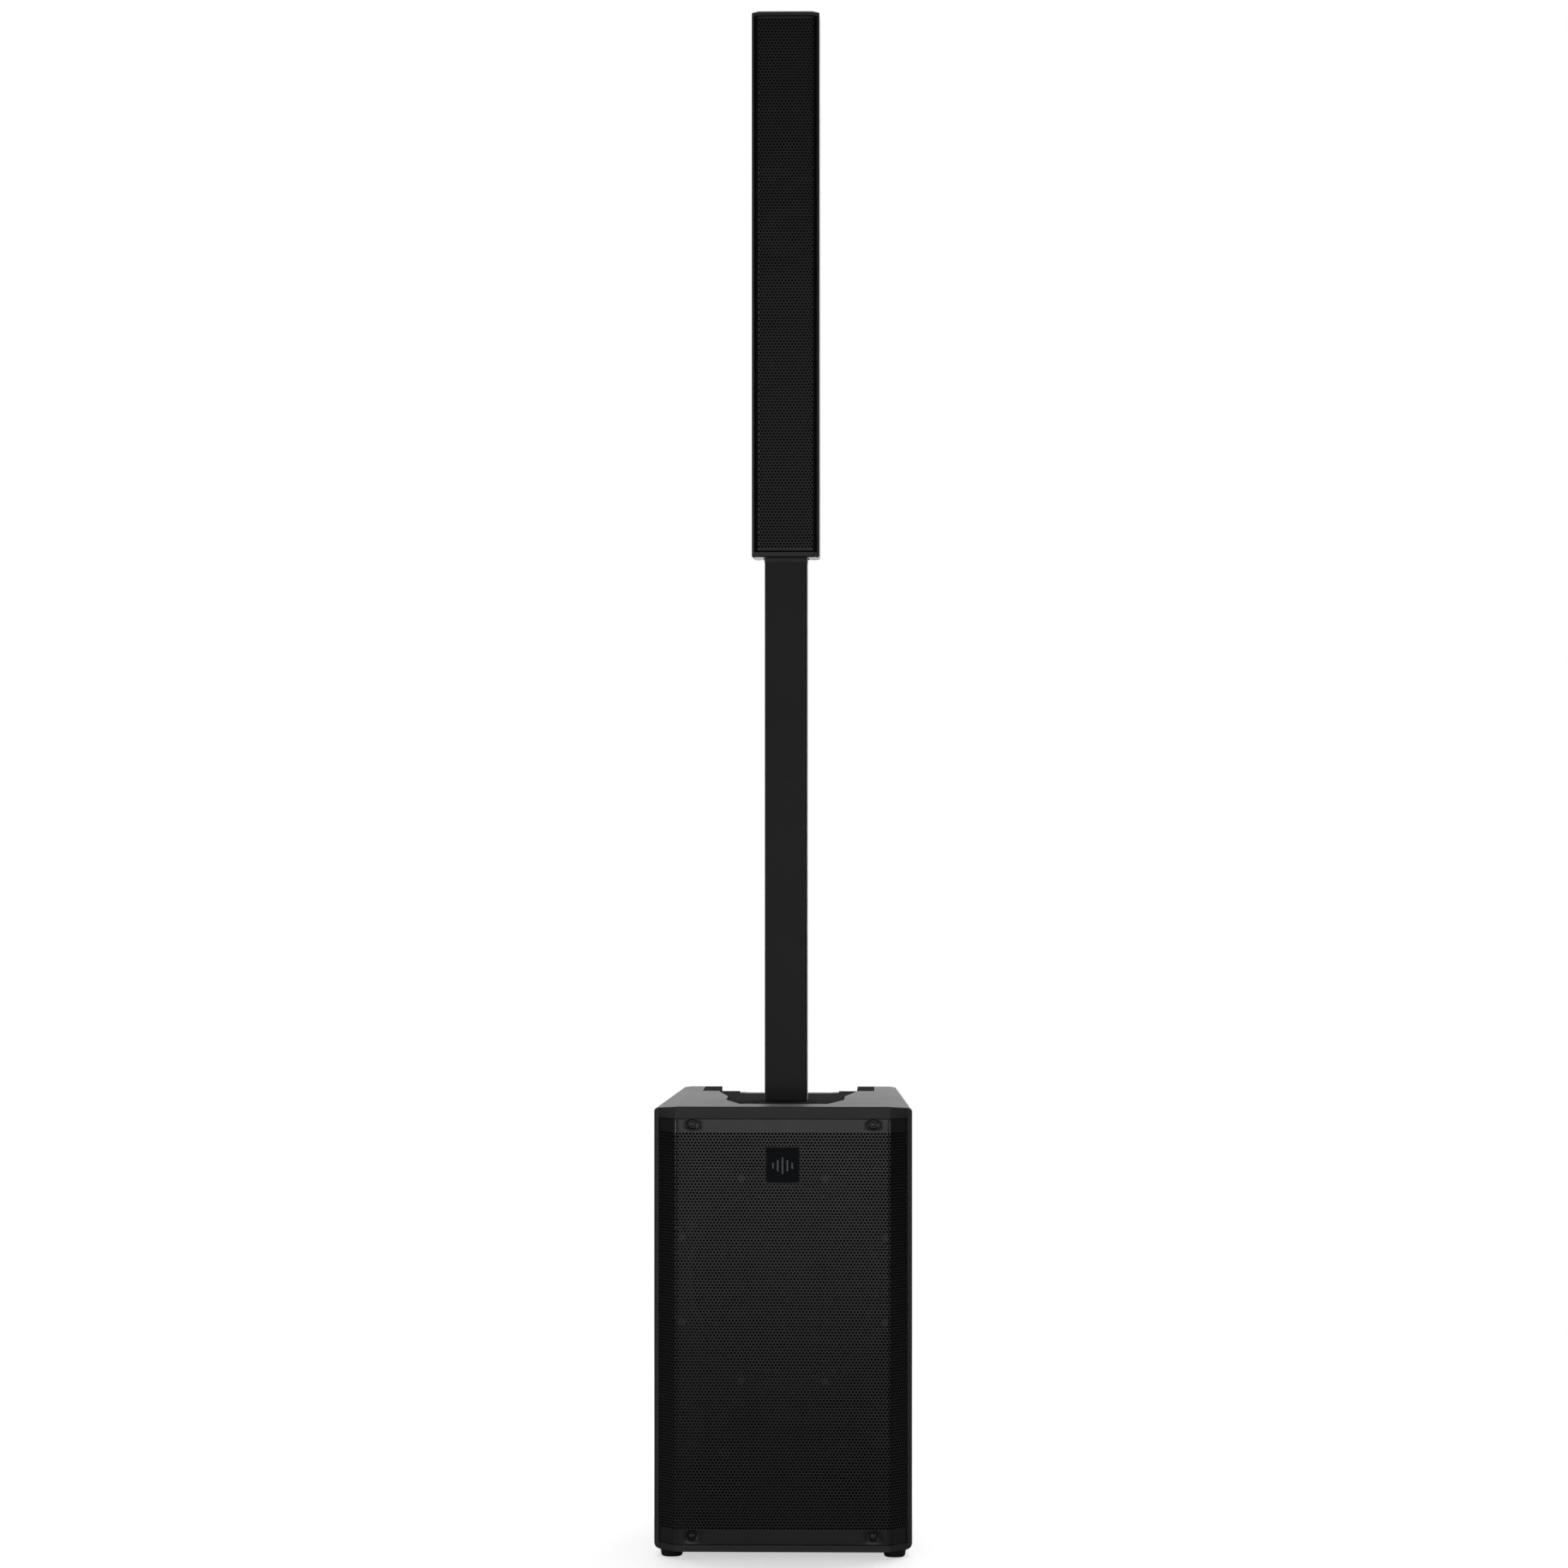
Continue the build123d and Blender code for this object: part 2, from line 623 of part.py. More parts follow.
def dust_cap():
    """Domed cap over the voice coil, part of a thin sphere, glued on the cone."""
    y = cap_seat_y - fit_gap
    sphere = (dust_cap_radius ** 2 + dust_cap_rise ** 2) / (2 * dust_cap_rise)
    center = y - dust_cap_rise + sphere
    thin = sphere - paper
    wide = math.asin(dust_cap_radius / sphere)
    narrow = math.acos((center - y) / thin)
    outer = ThreePointArc(*[(sphere * math.sin(a), center - sphere * math.cos(a))
                            for a in (0, wide / 2, wide)])
    inner = ThreePointArc(*[(thin * math.sin(a), center - thin * math.cos(a))
                            for a in (narrow, narrow / 2, 0)])
    face = make_face([outer, Line(outer @ 1, inner @ 0), inner, Line(inner @ 1, outer @ 0)])
    return Pos(0, 0, woofer_z) * revolve(face, Axis.Y)


def voice_coil():
    """Coil former with its winding, hung in the magnet's gap."""
    gap_end = baffle_front_y + basket_depth + 4 + plate_thickness + 2
    return turned([(coil_radius, neck_y - 2), (coil_radius + coil_wall, neck_y - 2),
                   (coil_radius + coil_wall, gap_end), (coil_radius, gap_end)], 0, woofer_z)


def woofer_spider():
    """Corrugated centring disc between the former and the basket."""
    y = baffle_front_y + basket_depth - 12
    inner = coil_radius + coil_wall + fit_gap
    outer = magnet_radius + 8
    waves = 5
    step = (outer - inner) / (2 * waves)
    near = [(inner + i * step, y + (2.0 if i % 2 else 0.0)) for i in range(2 * waves + 1)]
    far = [(r, yy + 1.0) for r, yy in reversed(near)]
    return turned(near + far, 0, woofer_z)


def port_tubes():
    """Two reflex ports with a lip on the baffle's front."""
    tubes = []
    for s in (-1, 1):
        r = port_radius + port_wall
        tubes.append(turned([(port_radius, baffle_front_y - 3), (r + 5, baffle_front_y - 3),
                             (r + 5, baffle_front_y), (r, baffle_front_y),
                             (r, baffle_front_y + port_length), (port_radius, baffle_front_y + port_length)],
                            s * port_x, port_z))
    return group(tubes)


def feet():
    """Four rubber feet, wider at the floor."""
    made = []
    for x, y in foot_places:
        foot = Pos(x, y, 0) * Cone(foot_radius, foot_radius - foot_flare, foot_height,
                                   align=(Align.CENTER, Align.CENTER, Align.MIN))
        foot -= post(x, y, -1, 5.2, 6)
        foot -= post(x, y, 0, 2.3, foot_height + 1)
        made.append(foot)
    return group(made)


# ---- Amplifier panel ----------------------------------------------------------------------------
def panel_opening(x, row, size_x, size_z):
    """A rectangular hole through the panel, its centre given from the panel's middle."""
    return span(x - size_x / 2, x + size_x / 2, panel_back_y - 1, panel_face_y + 1,
                panel_z + row - size_z / 2, panel_z + row + size_z / 2)


line_jacks_at = [(line_jack_x, jack_row + s * line_jack_pitch / 2) for s in (-1, 1)]
latch_row = jack_row + jack_flange_z / 2 + 5.5


def amp_panel():
    """Aluminium panel that carries the inputs, level controls, cooling fins and mains inlet."""
    plate = span(-panel_width / 2, panel_width / 2, panel_back_y, panel_face_y,
                 panel_z - panel_height / 2, panel_z + panel_height / 2)
    for x in knob_xs:
        plate -= rod(x, panel_back_y - 1, panel_z + knob_row, shaft_radius + shaft_running_fit, panel_thickness + 2)
        plate -= rod(x, panel_back_y - 1, panel_z + lens_row, 1.5, panel_thickness + 2)
    for x in combo_xs + (link_x,):
        plate -= rod(x, panel_back_y - 1, panel_z + jack_row, jack_body_radius, panel_thickness + 2)
    for x, row in line_jacks_at:
        plate -= rod(x, panel_back_y - 1, panel_z + row, 4.8, panel_thickness + 2)
    for x in combo_xs:
        plate -= panel_opening(x, latch_row, 9 + 2 * press_gap, 5 + 2 * press_gap)
    for x in button_xs:
        plate -= panel_opening(x, button_row, button_size + 2 * press_gap, button_size + 2 * press_gap)
    plate -= panel_opening(inlet_x, mains_row, inlet_width, inlet_height)
    plate -= panel_opening(switch_x, mains_row, switch_width, switch_height)
    for x, z in panel_screws_at:
        plate -= rod(x, panel_back_y - 1, z, 1.9, panel_thickness + 2)
    return plate


def heat_sink():
    """Extruded cooling block with upright fins, seated on the panel."""
    low = panel_z + sink_bottom
    body = span(-sink_width / 2, sink_width / 2, panel_face_y, panel_face_y + sink_base, low, low + sink_height)
    pitch = (sink_width - fin_thickness) / (fins - 1)
    for i in range(fins):
        x = -sink_width / 2 + fin_thickness / 2 + i * pitch
        body += block(x, panel_face_y + sink_base + fin_height / 2, low, fin_thickness, fin_height, sink_height)
    return body


def level_knob(x):
    """Knob with a grip skirt, a pointer groove and its shaft."""
    z = panel_z + knob_row
    base = panel_face_y + 0.4
    knob = Pos(x, base, z) * Rot(-90, 0, 0) * Cone(knob_radius, knob_radius - 1.6, knob_height,
                                                    align=(Align.CENTER, Align.CENTER, Align.MIN))
    for i in range(12):
        angle = math.radians(30 * i + 15)
        knob -= rod(x + (knob_radius + 0.6) * math.cos(angle), base + 2,
                    z + (knob_radius + 0.6) * math.sin(angle), 1.5, knob_height)
    knob -= span(x - 0.6, x + 0.6, base + knob_height - 0.7, base + knob_height + 1, z, z + knob_radius)
    knob += rod(x, panel_back_y - 8, z, shaft_radius, 8 + panel_thickness + 1.4)
    return knob


def level_pots():
    """Potentiometer bodies behind the panel, one for each knob."""
    made = []
    for x in knob_xs:
        body = block(x, panel_back_y - 7, panel_z + knob_row - 8, 16, 14, 16)
        body -= rod(x, panel_back_y - 9, panel_z + knob_row, shaft_radius + shaft_running_fit, 10)
        made.append(body)
    return group(made)


def indicator_lenses():
    """One small lens above each knob."""
    made = []
    for x in knob_xs:
        lens = rod(x, panel_back_y - 2, panel_z + lens_row, 1.5, panel_thickness + 2)
        lens += Pos(x, panel_face_y, panel_z + lens_row) * Sphere(1.5)
        made.append(lens)
    return group(made)


def combo_jacks():
    """Combination sockets: a round body with three contact bores around a 6.35 mm plug bore."""
    made = []
    z = panel_z + jack_row
    for x in combo_xs:
        body = span(x - jack_flange_x / 2, x + jack_flange_x / 2, panel_face_y, panel_face_y + 2.5,
                    z - jack_flange_z / 2, z + jack_flange_z / 2)
        body += rod(x, panel_back_y - 22, z, jack_body_radius, 22 + panel_thickness)
        body -= rod(x, panel_back_y - 20, z, plug_radius, 40)
        for angle in (30, 150, 270):
            body -= rod(x + xlr_pin_circle * math.cos(math.radians(angle)), panel_back_y - 12,
                        z + xlr_pin_circle * math.sin(math.radians(angle)), 1.6, 30)
        made.append(body)
    return group(made)


def jack_latch(x):
    """Release tab above a combination socket; it is pushed in against a spring."""
    z = panel_z + latch_row
    return span(x - 4.5, x + 4.5, panel_back_y - 5, panel_face_y + 3.5, z - 2.5, z + 2.5)


def push_button(x):
    """Square button that stands proud of the panel."""
    z = panel_z + button_row
    body = span(x - button_size / 2, x + button_size / 2, panel_back_y - 6, panel_face_y + button_proud,
                z - button_size / 2, z + button_size / 2)
    top = body.faces().sort_by(Axis.Y)[-1]
    return chamfer(top.edges(), 0.8)


def line_jacks():
    """Two 6.35 mm line sockets with hexagonal nuts."""
    made = []
    for x, row in line_jacks_at:
        z = panel_z + row
        body = rod(x, panel_back_y - 22, z, 4.8, 22 + panel_thickness)
        body += block(x, panel_back_y - 12, z - 7.5, 15, 20, 15)
        nut = extrude(RegularPolygon(8.0, 6), 2.6)
        body += Pos(x, panel_face_y, z) * Rot(-90, 0, 0) * nut
        body -= rod(x, panel_back_y - 20, z, plug_radius, 40)
        made.append(body)
    return group(made)


def link_output():
    """Male output connector: a round cup behind a square flange."""
    z = panel_z + jack_row
    body = span(link_x - jack_flange_x / 2, link_x + jack_flange_x / 2, panel_face_y, panel_face_y + 2.5,
                z - jack_flange_z / 2, z + jack_flange_z / 2)
    body += rod(link_x, panel_back_y - 22, z, jack_body_radius, 22 + panel_thickness)
    body -= rod(link_x, panel_back_y - 16, z, jack_body_radius - 1.8, 40)
    return body


def mains_inlet():
    """Appliance inlet with a deep cavity, held in the panel by its flange."""
    z = panel_z + mains_row
    body = span(inlet_x - inlet_width / 2, inlet_x + inlet_width / 2, panel_face_y - inlet_depth, panel_face_y,
                z - inlet_height / 2, z + inlet_height / 2)
    body += span(inlet_x - 24, inlet_x + 24, panel_face_y, panel_face_y + 3, z - 12, z + 12)
    body -= span(inlet_x - inlet_width / 2 + 1.6, inlet_x + inlet_width / 2 - 1.6,
                 panel_face_y - inlet_depth + 3, panel_face_y + 5, z - inlet_height / 2 + 1.6,
                 z + inlet_height / 2 - 1.6)
    for s in (-1, 1):
        body -= rod(inlet_x + s * 20, panel_face_y - 1, z, 1.6, 6)
    return body


def connector_pins():
    """Three flat pins inside the mains inlet and three round ones inside the output connector."""
    z = panel_z + mains_row
    y = panel_face_y - inlet_depth + 3
    places = ((-7.0, -2.0), (0.0, 3.0), (7.0, -2.0))
    pins = [span(inlet_x + dx - 1, inlet_x + dx + 1, y, y + 16, z + dz - 2, z + dz + 2) for dx, dz in places]
    z = panel_z + jack_row
    pins += [rod(link_x + 3.8 * math.cos(math.radians(a)), panel_back_y - 16,
                 z + 3.8 * math.sin(math.radians(a)), 1.2, 14) for a in (90, 210, 330)]
    return group(pins)


def switch_housing():
    """Frame and box of the mains switch."""
    z = panel_z + mains_row
    body = span(-switch_width / 2, switch_width / 2, panel_face_y - 20, panel_face_y,
                z - switch_height / 2, z + switch_height / 2)
    body += span(-switch_width / 2 - 2, switch_width / 2 + 2, panel_face_y, panel_face_y + 2,
                 z - switch_height / 2 - 2, z + switch_height / 2 + 2)
    body -= span(-switch_width / 2 + 1.5, switch_width / 2 - 1.5, panel_face_y - 12, panel_face_y + 5,
                 z - switch_height / 2 + 1.5, z + switch_height / 2 - 1.5)
    return Pos(switch_x, 0, 0) * body


def switch_rocker():
    """Rocker with two sloping faces, tipped about a line along X onto its lower end."""
    z = panel_z + mains_row
    half = switch_height / 2 - 2.8
    width = switch_width - 3 - 2 * press_gap
    y = panel_face_y
    profile = Polyline((y - 6, z - 4), (y - 0.5, z - half), (y + 4.5, z - half), (y + 2.6, z),
                       (y + 4.5, z + half), (y - 0.5, z + half), (y - 6, z + 4), close=True)
    body = extrude(Plane.YZ * make_face(profile), width / 2, both=True)
    pivot = Pos(switch_x, y - 1, z)
    return pivot * Rot(-rocker_tip, 0, 0) * Pos(0, 1 - y, -z) * body


def amp_boards():
    """Amplifier board and power supply board with their large parts, on spacers behind the panel."""
    y = panel_back_y - board_gap
    amplifier = span(-board_half, board_half, y - board_thickness, y, panel_z - 20, panel_z + 150)
    for x in (-70, -30, 10, 50):
        amplifier += rod(x, y - board_thickness - 18, panel_z + 40, 8, 18)
    supply = span(-board_half, board_half, y - board_thickness, y, panel_z - 150, panel_z - 25)
    supply += span(-90, -40, y - 40, y - board_thickness, panel_z - 100, panel_z - 50)
    for x in (0, 32, 64):
        supply += rod(x, y - board_thickness - 36, panel_z - 75, 12.5, 36)
    spacers = [rod(x, y, panel_z + row, 3.5, board_gap) for x in (-94, 94) for row in (-143, -32, -14, 143)]
    return group([amplifier, supply] + spacers)


# ---- Pole ------------------------------------------------------------------------------------------
def pole_section(width, depth, corner):
    """A rectangle in plan with rounded corners."""
    return RectangleRounded(width, depth, corner)


def pole_tube():
    """Extruded aluminium tube with rounded corners."""
    outer = pole_section(pole_width, pole_depth, pole_corner)
    inner = Rectangle(pole_width - 2 * pole_wall, pole_depth - 2 * pole_wall)
    tube = Pos(0, 0, tray_floor_z) * extrude(outer - inner, pole_length)
    for z in (tray_floor_z + spigot_grip / 2, pole_top - spigot_grip / 2):
        for s in (-1, 1):
            tube -= rod(s * 15, pole_depth / 2 - pole_wall - 1, z, 2.0, pole_wall + 2)
    return tube


def spigot(low, high, bottom_block, top_block):
    """Moulded plug that fits the tube inside and stands out of its end."""
    body = block(0, 0, low, spigot_width, spigot_depth, high - low)
    body = chamfer(body.edges().filter_by(Axis.Z), 1.0)
    body -= block(0, 0, low - 1, spigot_width - 2 * spigot_hollow_wall,
                  spigot_depth - 2 * spigot_hollow_wall, high - low + 2)
    floor_thickness = 12.0
    if bottom_block:
        body += block(0, 0, low, spigot_width - 2 * spigot_hollow_wall + 0.5,
                      spigot_depth - 2 * spigot_hollow_wall + 0.5, floor_thickness)
        body -= block(0, 0, low - 1, contact_width, contact_depth, floor_thickness + 2)
    if top_block:
        body += block(0, 0, high - floor_thickness, spigot_width - 2 * spigot_hollow_wall + 0.5,
                      spigot_depth - 2 * spigot_hollow_wall + 0.5, floor_thickness)
        body -= block(0, 0, high - contact_block_height, contact_width, contact_depth, contact_block_height + 1)
    return body


lower_spigot_low = tray_floor_z - lower_spigot_reach
upper_spigot_high = column_bottom + upper_spigot_reach


def lower_spigot():
    """Plug between the subwoofer's socket and the pole tube."""
    body = spigot(lower_spigot_low, tray_floor_z + spigot_grip, True, False)
    for s in (-1, 1):
        body -= rod(s * pole_screw_x, spigot_depth / 2 - spigot_hollow_wall - 1, tray_floor_z + spigot_grip / 2, 1.5,
                    spigot_hollow_wall + 2)
    return body


def upper_spigot():
    """Plug between the pole tube and the column's socket."""
    body = spigot(pole_top - spigot_grip, upper_spigot_high, False, True)
    for s in (-1, 1):
        body -= rod(s * pole_screw_x, spigot_depth / 2 - spigot_hollow_wall - 1, pole_top - spigot_grip / 2, 1.5,
                    spigot_hollow_wall + 2)
    return body


def pole_collar():
    """Ring that finishes the tube's top end under the column."""
    ring = Pos(0, 0, pole_top) * extrude(
        pole_section(pole_width + 2 * collar_overhang, pole_depth + 2 * collar_overhang, pole_corner),
        collar_height)
    ring -= block(0, 0, pole_top - 1, spigot_width + 2 * spigot_tube_gap, spigot_depth + 2 * spigot_tube_gap,
                  collar_height + 2)
    return ring


def pole_contacts():
    """Bored block at the pole's foot and pinned block at its head."""
    foot = contact_female(lower_spigot_low)
    head = contact_male(upper_spigot_high - contact_block_height)
    return group([foot] + head)


def pole_screws():
    """Four screws at the back that hold the spigots in the tube."""
    made = []
    for z in (tray_floor_z + spigot_grip / 2, pole_top - spigot_grip / 2):
        for s in (-1, 1):
            made.append(screw_along_y(s * pole_screw_x, pole_depth / 2, z, -1, small_head_radius, 1.8,
                                      small_shank_radius, 7.0))
    return group(made)


# ---- Column ---------------------------------------------------------------------------------------
housing_low = column_bottom + bottom_cap_height
housing_high = column_top - top_cap_height
column_baffle_y = column_front_y + column_baffle_setback
driver_zs = [column_bottom + first_driver_above + driver_pitch * i for i in range(drivers)]
cap_screws_at = [(s * (column_width / 2 - column_wall - 4), column_rear_y - cap_screw_inset) for s in (-1, 1)]


def column_plan():
    """Column outline in plan: flat front, two cut corners and rounded rear corners."""
    half = column_width / 2
    facet_run = half - column_flat_half
    outline = both_sides([(column_flat_half, column_front_y), (column_flat_half + facet_run,
                         column_front_y + column_facet_setback), (half, column_rear_y)])
    face = make_face(Polyline(*outline, close=True))
    return fillet(face.vertices().sort_by(Axis.Y)[-2:], column_rear_corner)


def column_housing():
    """Extruded shell open to the front, closed by the caps, the baffle and the grille."""
    half = column_width / 2
    outer = extrude(column_plan(), housing_high - housing_low)
    inner = span(-half + column_wall, half - column_wall, column_front_y - 1, column_rear_y - column_wall,
                 -1, housing_high - housing_low + 1)
    inner = fillet(inner.edges().filter_by(Axis.Z).sort_by(Axis.Y)[-2:], column_rear_corner - column_wall)
    body = outer - inner
    # Ribs that the screws of the caps bite into, and the baffle's rails.
    for x, y in cap_screws_at:
        body += block(x, y, 0, 9, cap_rib_depth, housing_high - housing_low)
        body -= post(x, y, -1, 1.5, housing_high - housing_low + 2)
    rail_y = column_baffle_y + column_baffle_thickness
    for s in (-1, 1):
        body += block(s * (half - column_wall - 1.5), rail_y + 1.5, 0, 4, 3, housing_high - housing_low)
    body = Pos(0, 0, housing_low) * body
    return body


def bottom_cap():
    """Moulded end cap with the window for the pole's spigot."""
    body = Pos(0, 0, column_bottom) * extrude(column_plan(), bottom_cap_height)
    body = chamfer(body.faces().sort_by(Axis.Z)[0].edges(), cap_bevel)
    body -= block(0, 0, column_bottom - 1, socket_width + 2 * socket_wall + 2 * fit_gap,
                  socket_depth + 2 * socket_wall + 2 * fit_gap, bottom_cap_height + 2)
    for x, y in cap_screws_at:
        body -= post(x, y, column_bottom - 1, 1.9, bottom_cap_height + 2)
        body -= post(x, y, column_bottom - 1, 3.6, 3.5)
    return body


def top_cap():
    """Moulded end cap with a bevelled top edge."""
    body = Pos(0, 0, housing_high) * extrude(column_plan(), top_cap_height)
    body = chamfer(body.faces().sort_by(Axis.Z)[-1].edges(), cap_bevel)
    for x, y in cap_screws_at:
        body -= post(x, y, housing_high - 1, 1.9, top_cap_height + 2)
        body -= post(x, y, column_top - 2.5, 3.6, 3.5)
    return body


def cap_screws():
    """Screws that hold both caps on the housing."""
    made = []
    for x, y in cap_screws_at:
        made.append(screw_along_z(x, y, column_bottom + 2.5, 1, small_head_radius, 2.2, small_shank_radius, 14.0))
        made.append(screw_along_z(x, y, column_top - 2.5, -1, small_head_radius, 2.2, small_shank_radius, 14.0))
    return group(made)


def column_socket():
    """Sleeve in the column's foot that goes over the pole's upper spigot."""
    low = column_bottom
    high = upper_spigot_high + 20.0
    outer_x = socket_width + 2 * socket_wall
    outer_y = socket_depth + 2 * socket_wall
    body = block(0, 0, low, outer_x, outer_y, high - low)
    flange_x = column_width / 2 - column_wall - fit_gap
    rib_front = column_rear_y - cap_screw_inset - cap_rib_depth / 2
    body += span(-flange_x, flange_x, -outer_y / 2 - 3, rib_front - fit_gap, housing_low + fit_gap,
                 housing_low + fit_gap + 4.0)
    body -= block(0, 0, low - 1, socket_width, socket_depth, high - low - socket_wall + 1)
    return body


def column_contacts():
    """Bored contact block at the top of the column's socket."""
    return contact_female(upper_spigot_high + 1.0)


def column_baffle():
    """Moulded board behind the grille that carries the eight drivers."""
    half = column_width / 2 - column_wall - fit_gap
    board = span(-half, half, column_baffle_y, column_baffle_y + column_baffle_thickness,
                 housing_low + fit_gap, housing_high - fit_gap)
    for z in driver_zs:
        board -= rod(0, column_baffle_y - 1, z, driver_hole_radius + 1, column_baffle_thickness + 2)
    return board


def column_grille():
    """Perforated steel front with its sides bent back."""
    return bent_sheet(column_grille_flat_half, column_grille_facet_run, column_grille_facet_setback,
                      column_grille_y, 1.0, housing_low + column_grille_gap, housing_high - 1.0)


def driver_frames():
    """Pressed frames of the eight small drivers, each with its ring magnet behind it."""
    made = []
    front = column_baffle_y - 2
    back = column_baffle_y + 16
    for z in driver_zs:
        made.append(turned([(driver_surround_radius - 0.5, front), (driver_frame_radius, front),
                            (driver_frame_radius, column_baffle_y), (driver_hole_radius, column_baffle_y),
                            (driver_magnet_radius, back), (driver_magnet_radius - 4, back),
                            (driver_magnet_radius - 4, back - 2), (driver_magnet_radius - 2, back - 2),
                            (driver_hole_radius - 1, column_baffle_y),
                            (driver_surround_radius - 0.5, column_baffle_y)], 0, z))
        y = back
        made.append(turned([(0, y + 2), (9.2, y + 2), (9.2, y + 10), (11.2, y + 10), (11.2, y),
                            (driver_magnet_radius, y), (driver_magnet_radius, y + driver_magnet_depth),
                            (0, y + driver_magnet_depth)], 0, z))
    return group(made)


def driver_cones():
    """Cone, dome and coil former of each small driver, glued into one moving piece."""
    made = []
    front = column_baffle_y - 1.0
    neck = column_baffle_y + 8
    for z in driver_zs:
        made.append(turned([(0, neck - 6.5), (5, neck - 5.5), (9, neck - 2.2), (driver_cone_radius, front),
                            (driver_cone_radius, front + 1), (10.6, neck), (10.6, neck + 11),
                            (9.8, neck + 11), (9.8, neck - 1), (5, neck - 4.5), (0, neck - 5.5)], 0, z))
    return group(made)


def driver_surrounds():
    """Rubber half rolls around the small cones."""
    made = []
    y = column_baffle_y - 1.0
    middle = (driver_cone_radius + driver_surround_radius - 0.5) / 2
    roll = (driver_surround_radius - 0.5 - driver_cone_radius) / 2
    for z in driver_zs:
        outer = ThreePointArc((middle - roll, y), (middle, y - roll), (middle + roll, y))
        inner = ThreePointArc((middle + roll - 0.8, y), (middle, y - roll + 0.8), (middle - roll + 0.8, y))
        face = make_face([outer, Line(outer @ 1, inner @ 0), inner, Line(inner @ 1, outer @ 0)])
        made.append(Pos(0, 0, z) * revolve(face, Axis.Y))
    return group(made)


# ---- Fasteners ----------------------------------------------------------------------------------------
def grille_screws():
    """Four pan head screws at the bottoms of the grille's cups."""
    seat = grille_y + cup_depth
    return group([screw_along_y(x, seat, z, 1, grille_head_radius, 3.0, grille_shank_radius, 12.0)
                  for x, z in grille_screws_at])


def woofer_screws():
    """Eight screws through the woofer's flange."""
    seat = baffle_front_y - flange_thickness
    return group([screw_along_y(x, seat, z, 1, woofer_head_radius, 3.4, woofer_shank_radius, 19.0)
                  for x, z in woofer_screws_at])


def panel_screws():
    """Eight screws around the amplifier panel."""
    return group([screw_along_y(x, panel_face_y, z, -1, small_head_radius, 2.2, small_shank_radius, 9.0)
                  for x, z in panel_screws_at])


def tray_screws():
    """Six screws in the tray's floor and four like them in the socket's flange."""
    return group([screw_along_z(x, y, tray_floor_z - 2, -1, tray_head_radius, 1.9, tray_shank_radius, 13.0)
                  for x, y in tray_screws_at + socket_screws_at])


def handle_screws():
    """Screws that hold the handle's pads down."""
    return group([screw_along_z(x, y, bar_top - 4, -1, handle_head_radius, 3.4, heavy_shank_radius, bar_height + 4)
                  for x, y in bar_screws_at])


def foot_screws():
    """Screws sunk in the feet."""
    return group([screw_along_z(x, y, 5.0, 1, woofer_head_radius, 2.6, heavy_shank_radius, 12.0) for x, y in foot_places])


nodes = {
    "cabinet_shell": cabinet_shell,
    "front_baffle": front_baffle,
    "sub_grille": sub_grille,
    "grille_screws": grille_screws,
    "badge_plate": badge_plate,
    "woofer_basket": woofer_basket,
    "woofer_magnet": woofer_magnet,
    "woofer_screws": woofer_screws,
    "woofer_cone": woofer_cone,
    "woofer_surround": woofer_surround,
    "woofer_spider": woofer_spider,
    "voice_coil": voice_coil,
    "dust_cap": dust_cap,
    "port_tubes": port_tubes,
    "feet": feet,
    "foot_screws": foot_screws,
    "top_tray": top_tray,
    "tray_screws": tray_screws,
    "handle_well": handle_well,
    "carry_handle": carry_handle,
    "handle_screws": handle_screws,
    "pole_socket": pole_socket,
    "socket_contacts": socket_contacts,
    "amp_panel": amp_panel,
    "panel_screws": panel_screws,
    "heat_sink": heat_sink,
    "amp_boards": amp_boards,
    "level_pots": level_pots,
    "indicator_lenses": indicator_lenses,
    "combo_jacks": combo_jacks,
    "line_jacks": line_jacks,
    "link_output": link_output,
    "mains_inlet": mains_inlet,
    "connector_pins": connector_pins,
    "switch_housing": switch_housing,
    "switch_rocker": switch_rocker,
    "pole_tube": pole_tube,
    "lower_spigot": lower_spigot,
    "upper_spigot": upper_spigot,
    "pole_collar": pole_collar,
    "pole_contacts": pole_contacts,
    "pole_screws": pole_screws,
    "column_housing": column_housing,
    "column_bottom_cap": bottom_cap,
    "column_top_cap": top_cap,
    "cap_screws": cap_screws,
    "column_socket": column_socket,
    "column_baffle": column_baffle,
    "column_grille": column_grille,
    "driver_frames": driver_frames,
    "driver_cones": driver_cones,
    "driver_surrounds": driver_surrounds,
    "column_contacts": column_contacts,
}

os.makedirs("parts", exist_ok=True)
made = {name: build() for name, build in nodes.items()}
for number, x in enumerate(knob_xs[:-1], 1):
    made[f"channel_{number}_knob"] = level_knob(x)
made["master_knob"] = level_knob(knob_xs[-1])
for number, x in enumerate(button_xs, 1):
    made[f"push_button_{number}"] = push_button(x)
for number, x in enumerate(combo_xs, 1):
    made[f"jack_latch_{number}"] = jack_latch(x)
for name, shape in made.items():
    export_step(shape, f"parts/{name}.step")
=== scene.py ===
import math

